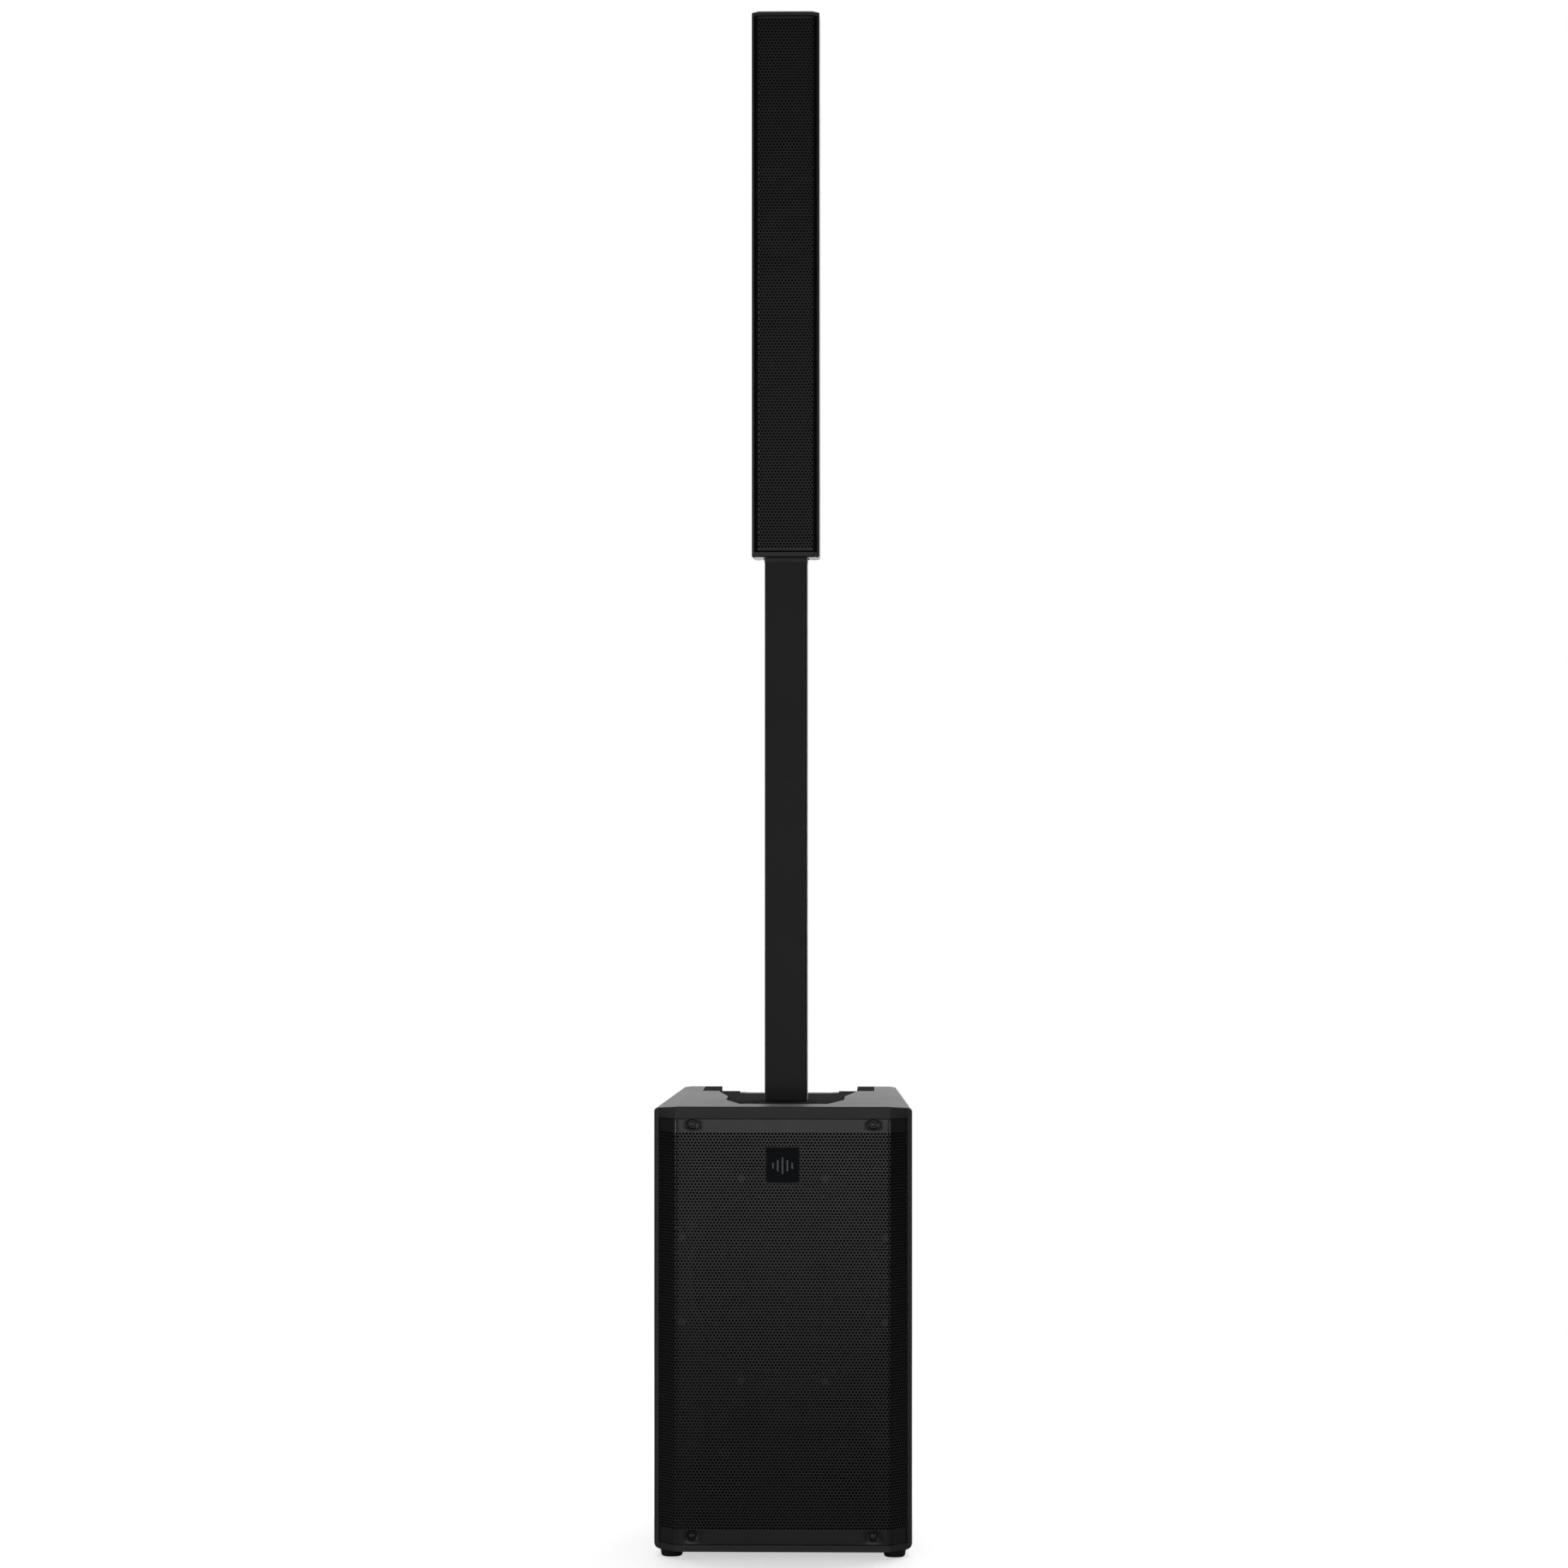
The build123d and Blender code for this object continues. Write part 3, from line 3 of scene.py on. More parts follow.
import bpy
import numpy as np
from mathutils.geometry import delaunay_2d_cdt
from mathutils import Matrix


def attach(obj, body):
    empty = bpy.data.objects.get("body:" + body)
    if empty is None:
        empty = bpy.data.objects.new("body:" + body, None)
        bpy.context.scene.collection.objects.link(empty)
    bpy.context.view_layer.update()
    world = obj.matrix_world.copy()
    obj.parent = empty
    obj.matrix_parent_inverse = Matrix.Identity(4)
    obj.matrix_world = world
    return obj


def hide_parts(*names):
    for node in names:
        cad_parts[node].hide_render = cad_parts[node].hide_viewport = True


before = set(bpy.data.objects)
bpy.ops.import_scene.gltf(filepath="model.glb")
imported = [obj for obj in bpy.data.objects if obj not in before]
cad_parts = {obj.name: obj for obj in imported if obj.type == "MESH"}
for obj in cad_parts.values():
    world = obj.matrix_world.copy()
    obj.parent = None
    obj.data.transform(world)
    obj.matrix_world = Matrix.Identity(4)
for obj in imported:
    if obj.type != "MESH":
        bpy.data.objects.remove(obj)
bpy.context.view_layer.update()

# ---- Cabinet shell -----------------------------------------------------------------------
# The real cabinet is one hollow moulding in black glass-filled polypropylene. The mould is
# spark-eroded, so the skin has a fine leathery grain, polished lighter where hands and
# cases rub its edges. Every finish below is mixed by the same few effects.


def place(tree, kind, inputs, **settings):
    """Adds one shader node. Each input is a plain value or another node's output."""
    made = tree.nodes.new(kind)
    for label, value in settings.items():
        setattr(made, label, value)
    for key, value in inputs.items():
        if isinstance(value, bpy.types.NodeSocket):
            tree.links.new(value, made.inputs[key])
        else:
            made.inputs[key].default_value = value
    return made


def effect(name, takes, gives):
    """An empty shader group with named number inputs, and its entry and exit nodes."""
    tree = bpy.data.node_groups.new(name, "ShaderNodeTree")
    for label, start in takes.items():
        made = tree.interface.new_socket(label, in_out="INPUT", socket_type="NodeSocketFloat")
        made.default_value = start
    for label, kind in gives.items():
        tree.interface.new_socket(label, in_out="OUTPUT", socket_type="NodeSocket" + kind)
    return tree, tree.nodes.new("NodeGroupInput").outputs, tree.nodes.new("NodeGroupOutput").inputs


def by_size(tree, entry, per_size=1.0):
    """The object's own coordinates, and how many repeats of the effect's size make a metre."""
    where = place(tree, "ShaderNodeTexCoord", {}).outputs["Object"]
    return where, place(tree, "ShaderNodeMath", {0: per_size, 1: entry["Size"]}, operation="DIVIDE").outputs[0]


def blended(tree, share, first, second):
    """The first colour going over to the second by a share. A Mix node's colours are inputs 6 and 7."""
    return place(tree, "ShaderNodeMix", {0: share, 6: first, 7: second}, data_type="RGBA").outputs[2]


def moulded_grain_effect():
    """Leathery cells with fine pits between them, over a slow drift in tone."""
    tree, entry, leave = effect("moulded grain", {"Size": 0.0014}, {"Height": "Float", "Tone": "Float"})
    where, per_metre = by_size(tree, entry)
    cells = place(tree, "ShaderNodeTexVoronoi", {"Vector": where, "Scale": per_metre}, feature="SMOOTH_F1")
    pits = place(tree, "ShaderNodeTexNoise", {"Vector": where, "Scale": per_metre, "Detail": 3.0})
    both = place(tree, "ShaderNodeMath", {0: cells.outputs["Distance"], 1: pits.outputs[0]},
                 operation="MULTIPLY")
    slow = place(tree, "ShaderNodeTexNoise", {"Vector": where, "Scale": 9.0, "Detail": 5.0})
    tree.links.new(both.outputs[0], leave["Height"])
    tree.links.new(slow.outputs[0], leave["Tone"])
    return tree


def worn_edges_effect():
    """Rounds every sharp edge by a small radius, and masks the edges, broken up by noise."""
    tree, entry, leave = effect("worn edges", {"Radius": 0.0008}, {"Normal": "Vector", "Mask": "Float"})
    soft = place(tree, "ShaderNodeBevel", {"Radius": entry["Radius"]}, samples=4)
    flat = place(tree, "ShaderNodeNewGeometry", {})
    same = place(tree, "ShaderNodeVectorMath", {0: soft.outputs[0], 1: flat.outputs["Normal"]},
                 operation="DOT_PRODUCT")
    edge = place(tree, "ShaderNodeMapRange",
                 {"Value": same.outputs["Value"], "From Min": 0.995, "From Max": 0.86})
    where = place(tree, "ShaderNodeTexCoord", {}).outputs["Object"]
    patchy = place(tree, "ShaderNodeTexNoise", {"Vector": where, "Scale": 60.0, "Detail": 4.0})
    patches = place(tree, "ShaderNodeMapRange",
                    {"Value": patchy.outputs[0], "From Min": 0.42, "From Max": 0.62})
    mask = place(tree, "ShaderNodeMath", {0: edge.outputs[0], 1: patches.outputs[0]}, operation="MULTIPLY")
    tree.links.new(soft.outputs[0], leave["Normal"])
    tree.links.new(mask.outputs[0], leave["Mask"])
    return tree


def settled_dust_effect():
    """A thin patchy film on whatever faces up."""
    tree, entry, leave = effect("settled dust", {"Amount": 0.2}, {"Mask": "Float"})
    flat = place(tree, "ShaderNodeNewGeometry", {})
    up = place(tree, "ShaderNodeSeparateXYZ", {0: flat.outputs["Normal"]}).outputs["Z"]
    lying = place(tree, "ShaderNodeMapRange", {"Value": up, "From Min": 0.35, "From Max": 1.0})
    where = place(tree, "ShaderNodeTexCoord", {}).outputs["Object"]
    specks = place(tree, "ShaderNodeTexNoise",
                   {"Vector": where, "Scale": 35.0, "Detail": 8.0, "Roughness": 0.7})
    film = place(tree, "ShaderNodeMath", {0: lying.outputs[0], 1: specks.outputs[0]}, operation="MULTIPLY")
    mask = place(tree, "ShaderNodeMath", {0: film.outputs[0], 1: entry["Amount"]}, operation="MULTIPLY")
    tree.links.new(mask.outputs[0], leave["Mask"])
    return tree


moulded_grain = moulded_grain_effect()
worn_edges = worn_edges_effect()
settled_dust = settled_dust_effect()
dust_colour = (0.16, 0.155, 0.145)


def finish(name, colour, second, roughness, grain, size, depth, edge=0.0008, wear=0.3, rubbed=None,
           dust=0.15, metallic=0.0, coat=0.0, sheen=0.0, specular=0.5):
    """A finish whose grain gives its relief and drifts its colour from the first to the second.
    Its roughness drifts with the colour. Edges go to the rubbed colour, by default three times the
    second and a little more, and dust lies on what faces up. Sizes and depths are in metres."""
    material = bpy.data.materials.new(name)
    material.use_nodes = True
    tree = material.node_tree
    shader = tree.nodes["Principled BSDF"]
    skin = place(tree, "ShaderNodeGroup", {}, node_tree=grain)
    skin.inputs["Size"].default_value = size
    blend = blended(tree, skin.outputs["Tone"], (*colour, 1.0), (*second, 1.0))
    relief = place(tree, "ShaderNodeBump",
                   {"Height": skin.outputs["Height"], "Distance": depth, "Strength": 1.0})
    if edge:
        rim = place(tree, "ShaderNodeGroup", {}, node_tree=worn_edges)
        rim.inputs["Radius"].default_value = edge
        tree.links.new(rim.outputs["Normal"], relief.inputs["Normal"])
        share = place(tree, "ShaderNodeMath", {0: rim.outputs["Mask"], 1: wear}, operation="MULTIPLY")
        shown = rubbed or tuple(3.0 * c + 0.02 for c in second)
        blend = blended(tree, share.outputs[0], blend, (*shown, 1.0))
    film = place(tree, "ShaderNodeGroup", {}, node_tree=settled_dust)
    film.inputs["Amount"].default_value = dust
    blend = blended(tree, film.outputs["Mask"], blend, (*dust_colour, 1.0))
    gloss = place(tree, "ShaderNodeMapRange", {"Value": skin.outputs["Tone"], "To Min": roughness - 0.06,
                                               "To Max": roughness + 0.06})
    tree.links.new(blend, shader.inputs["Base Color"])
    tree.links.new(gloss.outputs[0], shader.inputs["Roughness"])
    tree.links.new(relief.outputs[0], shader.inputs["Normal"])
    shader.inputs["Metallic"].default_value = metallic
    shader.inputs["Coat Weight"].default_value = coat
    shader.inputs["Sheen Weight"].default_value = sheen
    shader.inputs["Specular IOR Level"].default_value = specular
    return material


def dress(material, *names):
    """Puts a finish on CAD nodes that keep their own shape."""
    for name in names:
        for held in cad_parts[name].material_slots:
            held.material = material


cabinet_black = finish("cabinet moulding", (0.025, 0.025, 0.0255), (0.036, 0.036, 0.0365), roughness=0.5,
                       grain=moulded_grain, size=0.0014, depth=0.00005, edge=0.0015, wear=0.2, dust=0.2,
                       specular=0.4)
dress(cabinet_black, "cabinet_shell")


# ---- Rubber feet --------------------------------------------------------------------------
# Four turned feet in soft black rubber carry the cabinet. Each has a rounded tread, a waist
# and a screw down its middle, and the rubber is matt with a bloom of fine pores.


def rubber_pores_effect():
    """Fine pores over a cloudy bloom."""
    tree, entry, leave = effect("rubber pores", {"Size": 0.0006}, {"Height": "Float", "Tone": "Float"})
    where, per_metre = by_size(tree, entry)
    pores = place(tree, "ShaderNodeTexNoise", {"Vector": where, "Scale": per_metre, "Detail": 4.0})
    bloom = place(tree, "ShaderNodeTexNoise", {"Vector": where, "Scale": 22.0, "Detail": 6.0})
    tree.links.new(pores.outputs[0], leave["Height"])
    tree.links.new(bloom.outputs[0], leave["Tone"])
    return tree


def rings(radii, heights, steps, lobes=0, lobe_depth=0.0):
    """Rings about the local out axis: each has its own radius and height, and its radius swells and
    sinks around the turn by lobe_depth times the cosine of lobes times the angle."""
    turn = np.linspace(0, 2 * np.pi, steps, endpoint=False)
    reach = np.asarray(radii, float)[:, None] * (1 + np.broadcast_to(lobe_depth, len(radii))[:, None]
                                                 * np.cos(lobes * turn))
    rise = np.broadcast_to(np.asarray(heights, float)[:, None], reach.shape)
    return np.stack([reach * np.cos(turn), reach * np.sin(turn), rise], axis=-1)


def facing(points, centres, way):
    """Copies local (right, up, out) points to each centre, turned to look front, back, top or under."""
    axes = {"front": ((1, 0, 0), (0, 0, 1), (0, -1, 0)), "back": ((-1, 0, 0), (0, 0, 1), (0, 1, 0)),
            "top": ((1, 0, 0), (0, 1, 0), (0, 0, 1)), "under": ((-1, 0, 0), (0, 1, 0), (0, 0, -1))}[way]
    centres = np.asarray(centres, float).reshape(-1, *[1] * (points.ndim - 1), 3)
    return points[None] @ np.array(axes, float) + centres


def shells(name, grids, material, body, replaced=()):
    """One piece from closed shells (count, rings, steps, 3) in millimetres: neighbouring rings are
    joined all the way round, and the first and last rings are each closed by one flat face."""
    count, along, round_ = grids.shape[:3]
    index = np.arange(count * along * round_).reshape(count, along, round_)
    beside = np.roll(index, -1, axis=2)
    quads = np.stack([index[:, :-1], beside[:, :-1], beside[:, 1:], index[:, 1:]], axis=-1).reshape(-1, 4)
    ends = np.concatenate([index[:, 0, ::-1], index[:, -1]])
    mesh = bpy.data.meshes.new(name)
    mesh.from_pydata((grids.reshape(-1, 3) * 0.001).tolist(), [], quads.tolist() + ends.tolist())
    mesh.polygons.foreach_set("use_smooth", np.r_[np.ones(len(quads), bool), np.zeros(len(ends), bool)])
    mesh.set_sharp_from_angle(angle=math.radians(38))
    return piece(name, mesh, material, body, replaced)


def piece(name, mesh, material, body, replaced=()):
    """Puts a finished mesh in the scene on its body, in the place of the CAD nodes it stands for."""
    mesh.materials.append(material)
    made = bpy.data.objects.new(name, mesh)
    bpy.context.scene.collection.objects.link(made)
    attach(made, body)
    if replaced:
        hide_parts(*replaced)
    return made


rubber_pores = rubber_pores_effect()
foot_rubber = finish("foot rubber", (0.007, 0.007, 0.007), (0.013, 0.013, 0.0125), roughness=0.72,
                     grain=rubber_pores, size=0.0006, depth=0.00003, edge=0, dust=0.2, specular=0.3)
foot_centres = [(-149, -180, 0), (149, -180, 0), (-130.8, 180, 0), (130.8, 180, 0)]
foot_profile = rings([13.1, 15.2, 15.1, 14.6, 13.9, 12.4, 7.6, 7.0, 6.6, 6.4],
                     [10.0, 10.0, 8.6, 4.2, 1.3, 0.0, 0.0, 0.5, 4.2, 4.9], 48)[::-1]
shells("rubber_feet", facing(foot_profile, foot_centres, "top"), foot_rubber, "subwoofer",
       ["feet"])


# ---- Woofer --------------------------------------------------------------------------------
# A twelve inch driver: cast frame in rough black paint, ferrite ring magnet between steel
# plates, paper cone with a rubber surround, cloth spider, and a coil on an aluminium former.
# The frame, cone and surround are coloured darker than their paint, pulp and rubber alone:
# that extra dark is painted shade for the dim cavity seen through the grilles.


def paint_effect(name, stretch=(1.0, 1.0, 1.0)):
    """Rolling orange peel from two sizes of noise, over a slow drift in tone. A stretch pulls the
    pattern out along an axis, as when metal is drawn or turned."""
    tree, entry, leave = effect(name, {"Size": 0.001}, {"Height": "Float", "Tone": "Float"})
    where, per_metre = by_size(tree, entry)
    pulled = place(tree, "ShaderNodeMapping", {"Vector": where, "Scale": stretch}).outputs[0]
    peel = place(tree, "ShaderNodeTexNoise", {"Vector": pulled, "Scale": per_metre, "Detail": 2.0})
    drift = place(tree, "ShaderNodeTexNoise", {"Vector": pulled, "Scale": 14.0, "Detail": 6.0})
    tree.links.new(peel.outputs[0], leave["Height"])
    tree.links.new(drift.outputs[0], leave["Tone"])
    return tree


def woven_effect(name, axes):
    """Threads of two sets that cross, one sine wave along each of the two axes."""
    waves_per_thread = 0.16
    tree, entry, leave = effect(name, {"Size": 0.0008}, {"Height": "Float", "Tone": "Float"})
    where, per_metre = by_size(tree, entry, waves_per_thread)
    threads = [place(tree, "ShaderNodeTexWave", {"Vector": where, "Scale": per_metre, "Distortion": 0.6},
                     bands_direction=axis).outputs["Fac"] for axis in axes]
    weave = place(tree, "ShaderNodeMath", {0: threads[0], 1: threads[1]}, operation="MULTIPLY")
    drift = place(tree, "ShaderNodeTexNoise", {"Vector": where, "Scale": 40.0, "Detail": 6.0})
    tree.links.new(weave.outputs[0], leave["Height"])
    tree.links.new(drift.outputs[0], leave["Tone"])
    return tree


powder_coat = paint_effect("powder coat")
pressed_pulp = paint_effect("pressed pulp", (1.0, 1.0, 0.35))
turned_metal = paint_effect("turned metal", (1.0, 0.05, 1.0))
cloth_weave = woven_effect("cloth weave", "XZ")
# Frame colour: black paint, and painted shade for the cavity seen through the grilles.
dress(finish("cast frame paint and painted shade", (0.004, 0.004, 0.0044), (0.007, 0.007, 0.0074), roughness=0.6,
             grain=powder_coat, size=0.0018, depth=0.0001, specular=0.15), "woofer_basket", "driver_frames")
dress(finish("sintered ferrite", (0.022, 0.021, 0.021), (0.045, 0.044, 0.043), roughness=0.62,
             grain=powder_coat, size=0.0008, depth=0.00004, wear=0.5), "woofer_magnet")
# Cone colour: black pulp, and painted shade for the cavity seen through the grilles.
dress(finish("cone pulp and painted shade", (0.005, 0.005, 0.005), (0.009, 0.009, 0.0088), roughness=0.75, grain=pressed_pulp,
             size=0.0016, depth=0.00012, edge=0, specular=0.2, dust=0.1),
      "woofer_cone", "dust_cap", "driver_cones")
# Surround colour: black rubber, and painted shade for the cavity seen through the grilles.
dress(finish("surround rubber and painted shade", (0.004, 0.004, 0.004), (0.007, 0.007, 0.007), roughness=0.55,
             grain=rubber_pores, size=0.0007, depth=0.00003, edge=0, specular=0.25),
      "woofer_surround", "driver_surrounds")
dress(finish("spider cloth", (0.24, 0.15, 0.06), (0.34, 0.23, 0.10), roughness=0.85, grain=cloth_weave,
             size=0.0009, depth=0.0002, edge=0, sheen=0.3), "woofer_spider")
dress(finish("coil former", (0.62, 0.63, 0.65), (0.74, 0.75, 0.76), roughness=0.34, grain=turned_metal,
             size=0.0006, depth=0.00002, edge=0, metallic=1.0), "voice_coil")


# ---- Baffles and ports ----------------------------------------------------------------------
# The boards behind the grilles are fibreboard, rolled with flat black paint that leaves the
# fibres standing; their colour is set darker still, as painted shade for the dim cavity behind
# the holes. The two bass ports are moulded tubes with the cabinet's skin.

# Near-black board colour: black paint, and painted shade for the cavity seen through the holes.
board_paint_and_painted_shade = finish("fibreboard paint and painted shade", (0.003, 0.003, 0.003), (0.006, 0.006, 0.006), roughness=0.9,
                      grain=pressed_pulp, size=0.0022, depth=0.00015, specular=0.1, wear=0.4,
                      rubbed=(0.09, 0.06, 0.035))
dress(board_paint_and_painted_shade, "front_baffle", "column_baffle")
tray_black = finish("tray moulding", (0.0045, 0.0045, 0.0047), (0.0075, 0.0075, 0.0078), roughness=0.94,
                    grain=moulded_grain, size=0.0009, depth=0.00014, edge=0.0007, wear=0.35, dust=0.08,
                    specular=0.015)
dress(tray_black, "port_tubes")


# ---- Perforated grilles -----------------------------------------------------------------------
# Each grille is one sheet of steel, punched with round holes in staggered rows, folded back
# along both sides, and powder coated. Margins stay plain, screw cups are pressed in, and a
# window is cut for the badge. A very wide sheet is laid as bands that meet edge to edge.

hole_pitch = 4.56
row_pitch = hole_pitch * math.sqrt(3) / 2
hole_radius = 1.65
badge_middle = 524.4


def flat_keys(points):
    """Flat points as one whole number each, to the micron, so equal points share a number."""
    micron = np.rint(np.asarray(points, float) * 1000).astype(np.int64)
    return (micron[:, 0] + 10 ** 6) * 10 ** 7 + micron[:, 1]


def flat_points(keys):
    """The flat points behind those whole numbers."""
    return np.stack([keys // 10 ** 7 - 10 ** 6, keys % 10 ** 7], axis=1) / 1000


def punched_cells(middle, rows, even, odd, window):
    """Hexagonal cells in staggered rows, a round hole in each: eighteen triangles join the six
    corners to twelve points on the hole's rim. Cells in the window are left out of the triangles,
    and every cell's outline is also returned, with a test of whether a point lies in a cell."""
    counts = np.where(np.arange(rows) % 2 == 0, even, odd)
    row = np.repeat(np.arange(rows), counts)
    number = np.arange(counts.sum()) - np.repeat(np.cumsum(counts) - counts, counts)
    first = -(counts - 1) / 2 * hole_pitch
    centres = np.stack([first[row] + number * hole_pitch, middle + (row - (rows - 1) / 2) * row_pitch], axis=1)
    corner_turn = np.radians(30 + 60 * np.arange(6))
    rim_turn = np.radians(30 * np.arange(12))
    corners = hole_pitch / math.sqrt(3) * np.stack([np.cos(corner_turn), np.sin(corner_turn)], axis=1)
    rim = hole_radius * np.stack([np.cos(rim_turn), np.sin(rim_turn)], axis=1)
    keys = flat_keys((centres[:, None] + np.concatenate([corners, rim])[None]).reshape(-1, 2)).reshape(-1, 18)
    side = np.arange(6)
    after = (side + 1) % 6
    ring = 6 + (2 * side[:, None] + np.array([1, 2, 3])) % 12
    fan = np.concatenate([np.stack([side, after, ring[:, 1]], 1), np.stack([side, ring[:, 1], ring[:, 0]], 1),
                          np.stack([after, ring[:, 2], ring[:, 1]], 1)])
    kept = np.ones(len(centres), bool)
    if window:
        kept = (np.abs(centres[:, 0]) > window[0] / 2) | (np.abs(centres[:, 1] - window[2]) > window[1] / 2)
    outline = np.stack([keys[:, side], keys[:, after]], axis=-1).reshape(-1, 2)

    def in_field(points):
        """Whether the nearest centre of the endless pattern is one of the cells."""
        low = np.floor((points[:, 1] - centres[0, 1]) / row_pitch).astype(int)
        best, inside = np.full(len(points), np.inf), np.zeros(len(points), bool)
        for near in (low, low + 1):
            start = np.where(near % 2 == 0, -(even - 1) / 2, -(odd - 1) / 2) * hole_pitch
            place_in_row = np.rint((points[:, 0] - start) / hole_pitch)
            away = np.hypot(points[:, 0] - start - place_in_row * hole_pitch,
                            points[:, 1] - centres[0, 1] - near * row_pitch)
            held = np.where(near % 2 == 0, even, odd)
            there = (near >= 0) & (near < rows) & (place_in_row >= 0) & (place_in_row < held)
            inside = np.where(away < best, there, inside)
            best = np.minimum(away, best)
        return inside

    return keys[kept][:, fan].reshape(-1, 3), outline, in_field


def plain_margin(outline, in_field, half, low, high, rings_at):
    """The sheet round the punched field: the outer edge, the field's outline and the rings of each
    cup are joined into triangles, and those that lie in the field are dropped."""
    pairs = np.sort(outline, axis=1)
    pairs, uses = np.unique(pairs, axis=0, return_counts=True)
    border = pairs[uses == 1]
    across = np.linspace(-half, half, int(2 * half / 2.3))
    up = np.linspace(low, high, int((high - low) / 3.9))
    edge = np.concatenate([np.stack([across[:-1], np.full(len(across) - 1, low)], 1),
                           np.stack([np.full(len(up) - 1, half), up[:-1]], 1),
                           np.stack([across[:0:-1], np.full(len(across) - 1, high)], 1),
                           np.stack([np.full(len(up) - 1, -half), up[:0:-1]], 1)])
    corners = np.unique(border)
    points = np.concatenate([flat_points(corners), edge, rings_at.reshape(-1, 2)])
    loop = len(corners) + np.arange(len(edge))
    wires = np.concatenate([np.searchsorted(corners, border), np.stack([loop, np.roll(loop, -1)], 1)])
    laid, _, faces, *_ = delaunay_2d_cdt(points.tolist(), wires.tolist(), [], 0, 1e-5)
    laid, faces = np.array([tuple(p) for p in laid]), np.array(faces)
    a, b, c = laid[faces[:, 0]], laid[faces[:, 1]], laid[faces[:, 2]]
    area = (b[:, 0] - a[:, 0]) * (c[:, 1] - a[:, 1]) - (b[:, 1] - a[:, 1]) * (c[:, 0] - a[:, 0])
    faces = np.where(area[:, None] < 0, faces[:, ::-1], faces)[np.abs(area) > 1e-4]
    faces = faces[~in_field(laid[faces].mean(axis=1))]
    return flat_keys(laid)[faces]


def folded(flat, flat_half, run, setback, bend, front_y):
    """Flat points (across, up) laid on the folded sheet, with the way out of the sheet: straight to
    the fold, an arc of the bend's radius, then straight on at the fold's angle."""
    angle = math.atan2(setback, run)
    start = flat_half - bend * math.tan(angle / 2)
    past = np.abs(flat[:, 0]) - start
    turn = np.clip(past / bend, 0, angle)
    beyond = np.maximum(past - bend * angle, 0)
    x = np.minimum(np.abs(flat[:, 0]), start) + bend * np.sin(turn) + beyond * math.cos(angle)
    y = front_y + bend * (1 - np.cos(turn)) + beyond * math.sin(angle)
    side = np.sign(flat[:, 0])
    return (np.stack([side * x, y, flat[:, 1]], axis=1),
            np.stack([side * np.sin(turn), -np.cos(turn), np.zeros(len(flat))], axis=1))


def grille(name, field, size, fold, thickness, cups, bands, material, body, replaced):
    """A folded, punched sheet as closed bands: the front, the back a thickness behind it, and a wall
    along every free edge. A cup sinks by its profile of depth against distance from its centre.
    Edges sharper than 62 degrees, such as the rims of holes, stay crisp."""
    cup_reach, cup_sink = np.array([0, 1.9, 3.9, 5.1, 5.4, 5.9, 6.5]), np.array([5, 5, 5, 5, 2.6, 0.6, 0])
    turn = np.linspace(0, 2 * np.pi, 28, endpoint=False)
    circle = np.stack([np.cos(turn), np.sin(turn)], axis=1)
    cups = np.asarray(cups, float).reshape(-1, 2)
    rings_at = cups[:, None, None] + cup_reach[None, 1:, None, None] * circle[None, None]
    half, low, high = size["half"], size["low"], size["high"]
    punched, outline, in_field = punched_cells(**field)
    corners = np.concatenate([punched, plain_margin(outline, in_field, half, low, high, rings_at)])
    level = flat_points(corners.reshape(-1))[:, 1].reshape(-1, 3).mean(axis=1)
    band = np.clip(((level - low) / (high - low) * bands).astype(int), 0, bands - 1)
    for part in range(bands):
        keys, faces = np.unique(corners[band == part], return_inverse=True)
        faces = faces.reshape(-1, 3)
        flat = flat_points(keys)
        front, out = folded(flat, **fold)
        away = np.hypot(flat[:, None, 0] - cups[None, :, 0], flat[:, None, 1] - cups[None, :, 1])
        sink = np.interp(away, cup_reach, cup_sink).sum(axis=1)
        front[:, 1] += sink
        back = front - out * thickness
        count = len(keys)
        edges = np.concatenate([faces[:, [0, 1]], faces[:, [1, 2]], faces[:, [2, 0]]])
        free = edges[~np.isin(edges[:, 0] * count + edges[:, 1], edges[:, 1] * count + edges[:, 0])]
        walls = np.stack([free[:, 1], free[:, 0], free[:, 0] + count, free[:, 1] + count], axis=1)
        mesh = bpy.data.meshes.new(name)
        mesh.from_pydata((np.concatenate([front, back]) * 0.001).tolist(), [],
                         faces.tolist() + (faces[:, ::-1] + count).tolist() + walls.tolist())
        mesh.polygons.foreach_set("use_smooth", np.ones(len(mesh.polygons), bool))
        mesh.set_sharp_from_angle(angle=math.radians(62))
        piece(f"{name}_{part + 1}", mesh, material, body, replaced)


grille_black = finish("grille powder coat", (0.009, 0.009, 0.0092), (0.013, 0.013, 0.0132), roughness=0.29,
                      grain=powder_coat, size=0.0009, depth=0.00003, edge=0, dust=0.1, specular=0.42)
cup_centres = [(-120.7, 579.3), (120.7, 579.3), (-120.7, 30.7), (120.7, 30.7)]
grille("sub_grille_sheet",
       {"middle": 304.15, "rows": 134, "even": 76, "odd": 77, "window": (44.5, 48.0, badge_middle)},
       {"half": 177.3, "low": 19.8, "high": 585.9},
       {"flat_half": 143.3, "run": 22.7, "setback": 26.0, "bend": 8.0, "front_y": -213.5},
       1.5, cup_centres, 4, grille_black, "subwoofer", ["sub_grille"])


# ---- Screws --------------------------------------------------------------------------------------
# Black zinc plated machine screws with domed heads and six-lobed sockets hold the grille, the
# tray, the panel, the handle, the pole and the column's caps. The plating is thin at the rim.

screw_zinc = finish("black zinc screw", (0.035, 0.035, 0.037), (0.075, 0.075, 0.078), roughness=0.36,
                    grain=turned_metal, size=0.0005, depth=0.00001, edge=0.0003, wear=0.7,
                    rubbed=(0.30, 0.30, 0.31), metallic=0.85, dust=0.1)
dress(screw_zinc, "woofer_screws", "foot_screws")


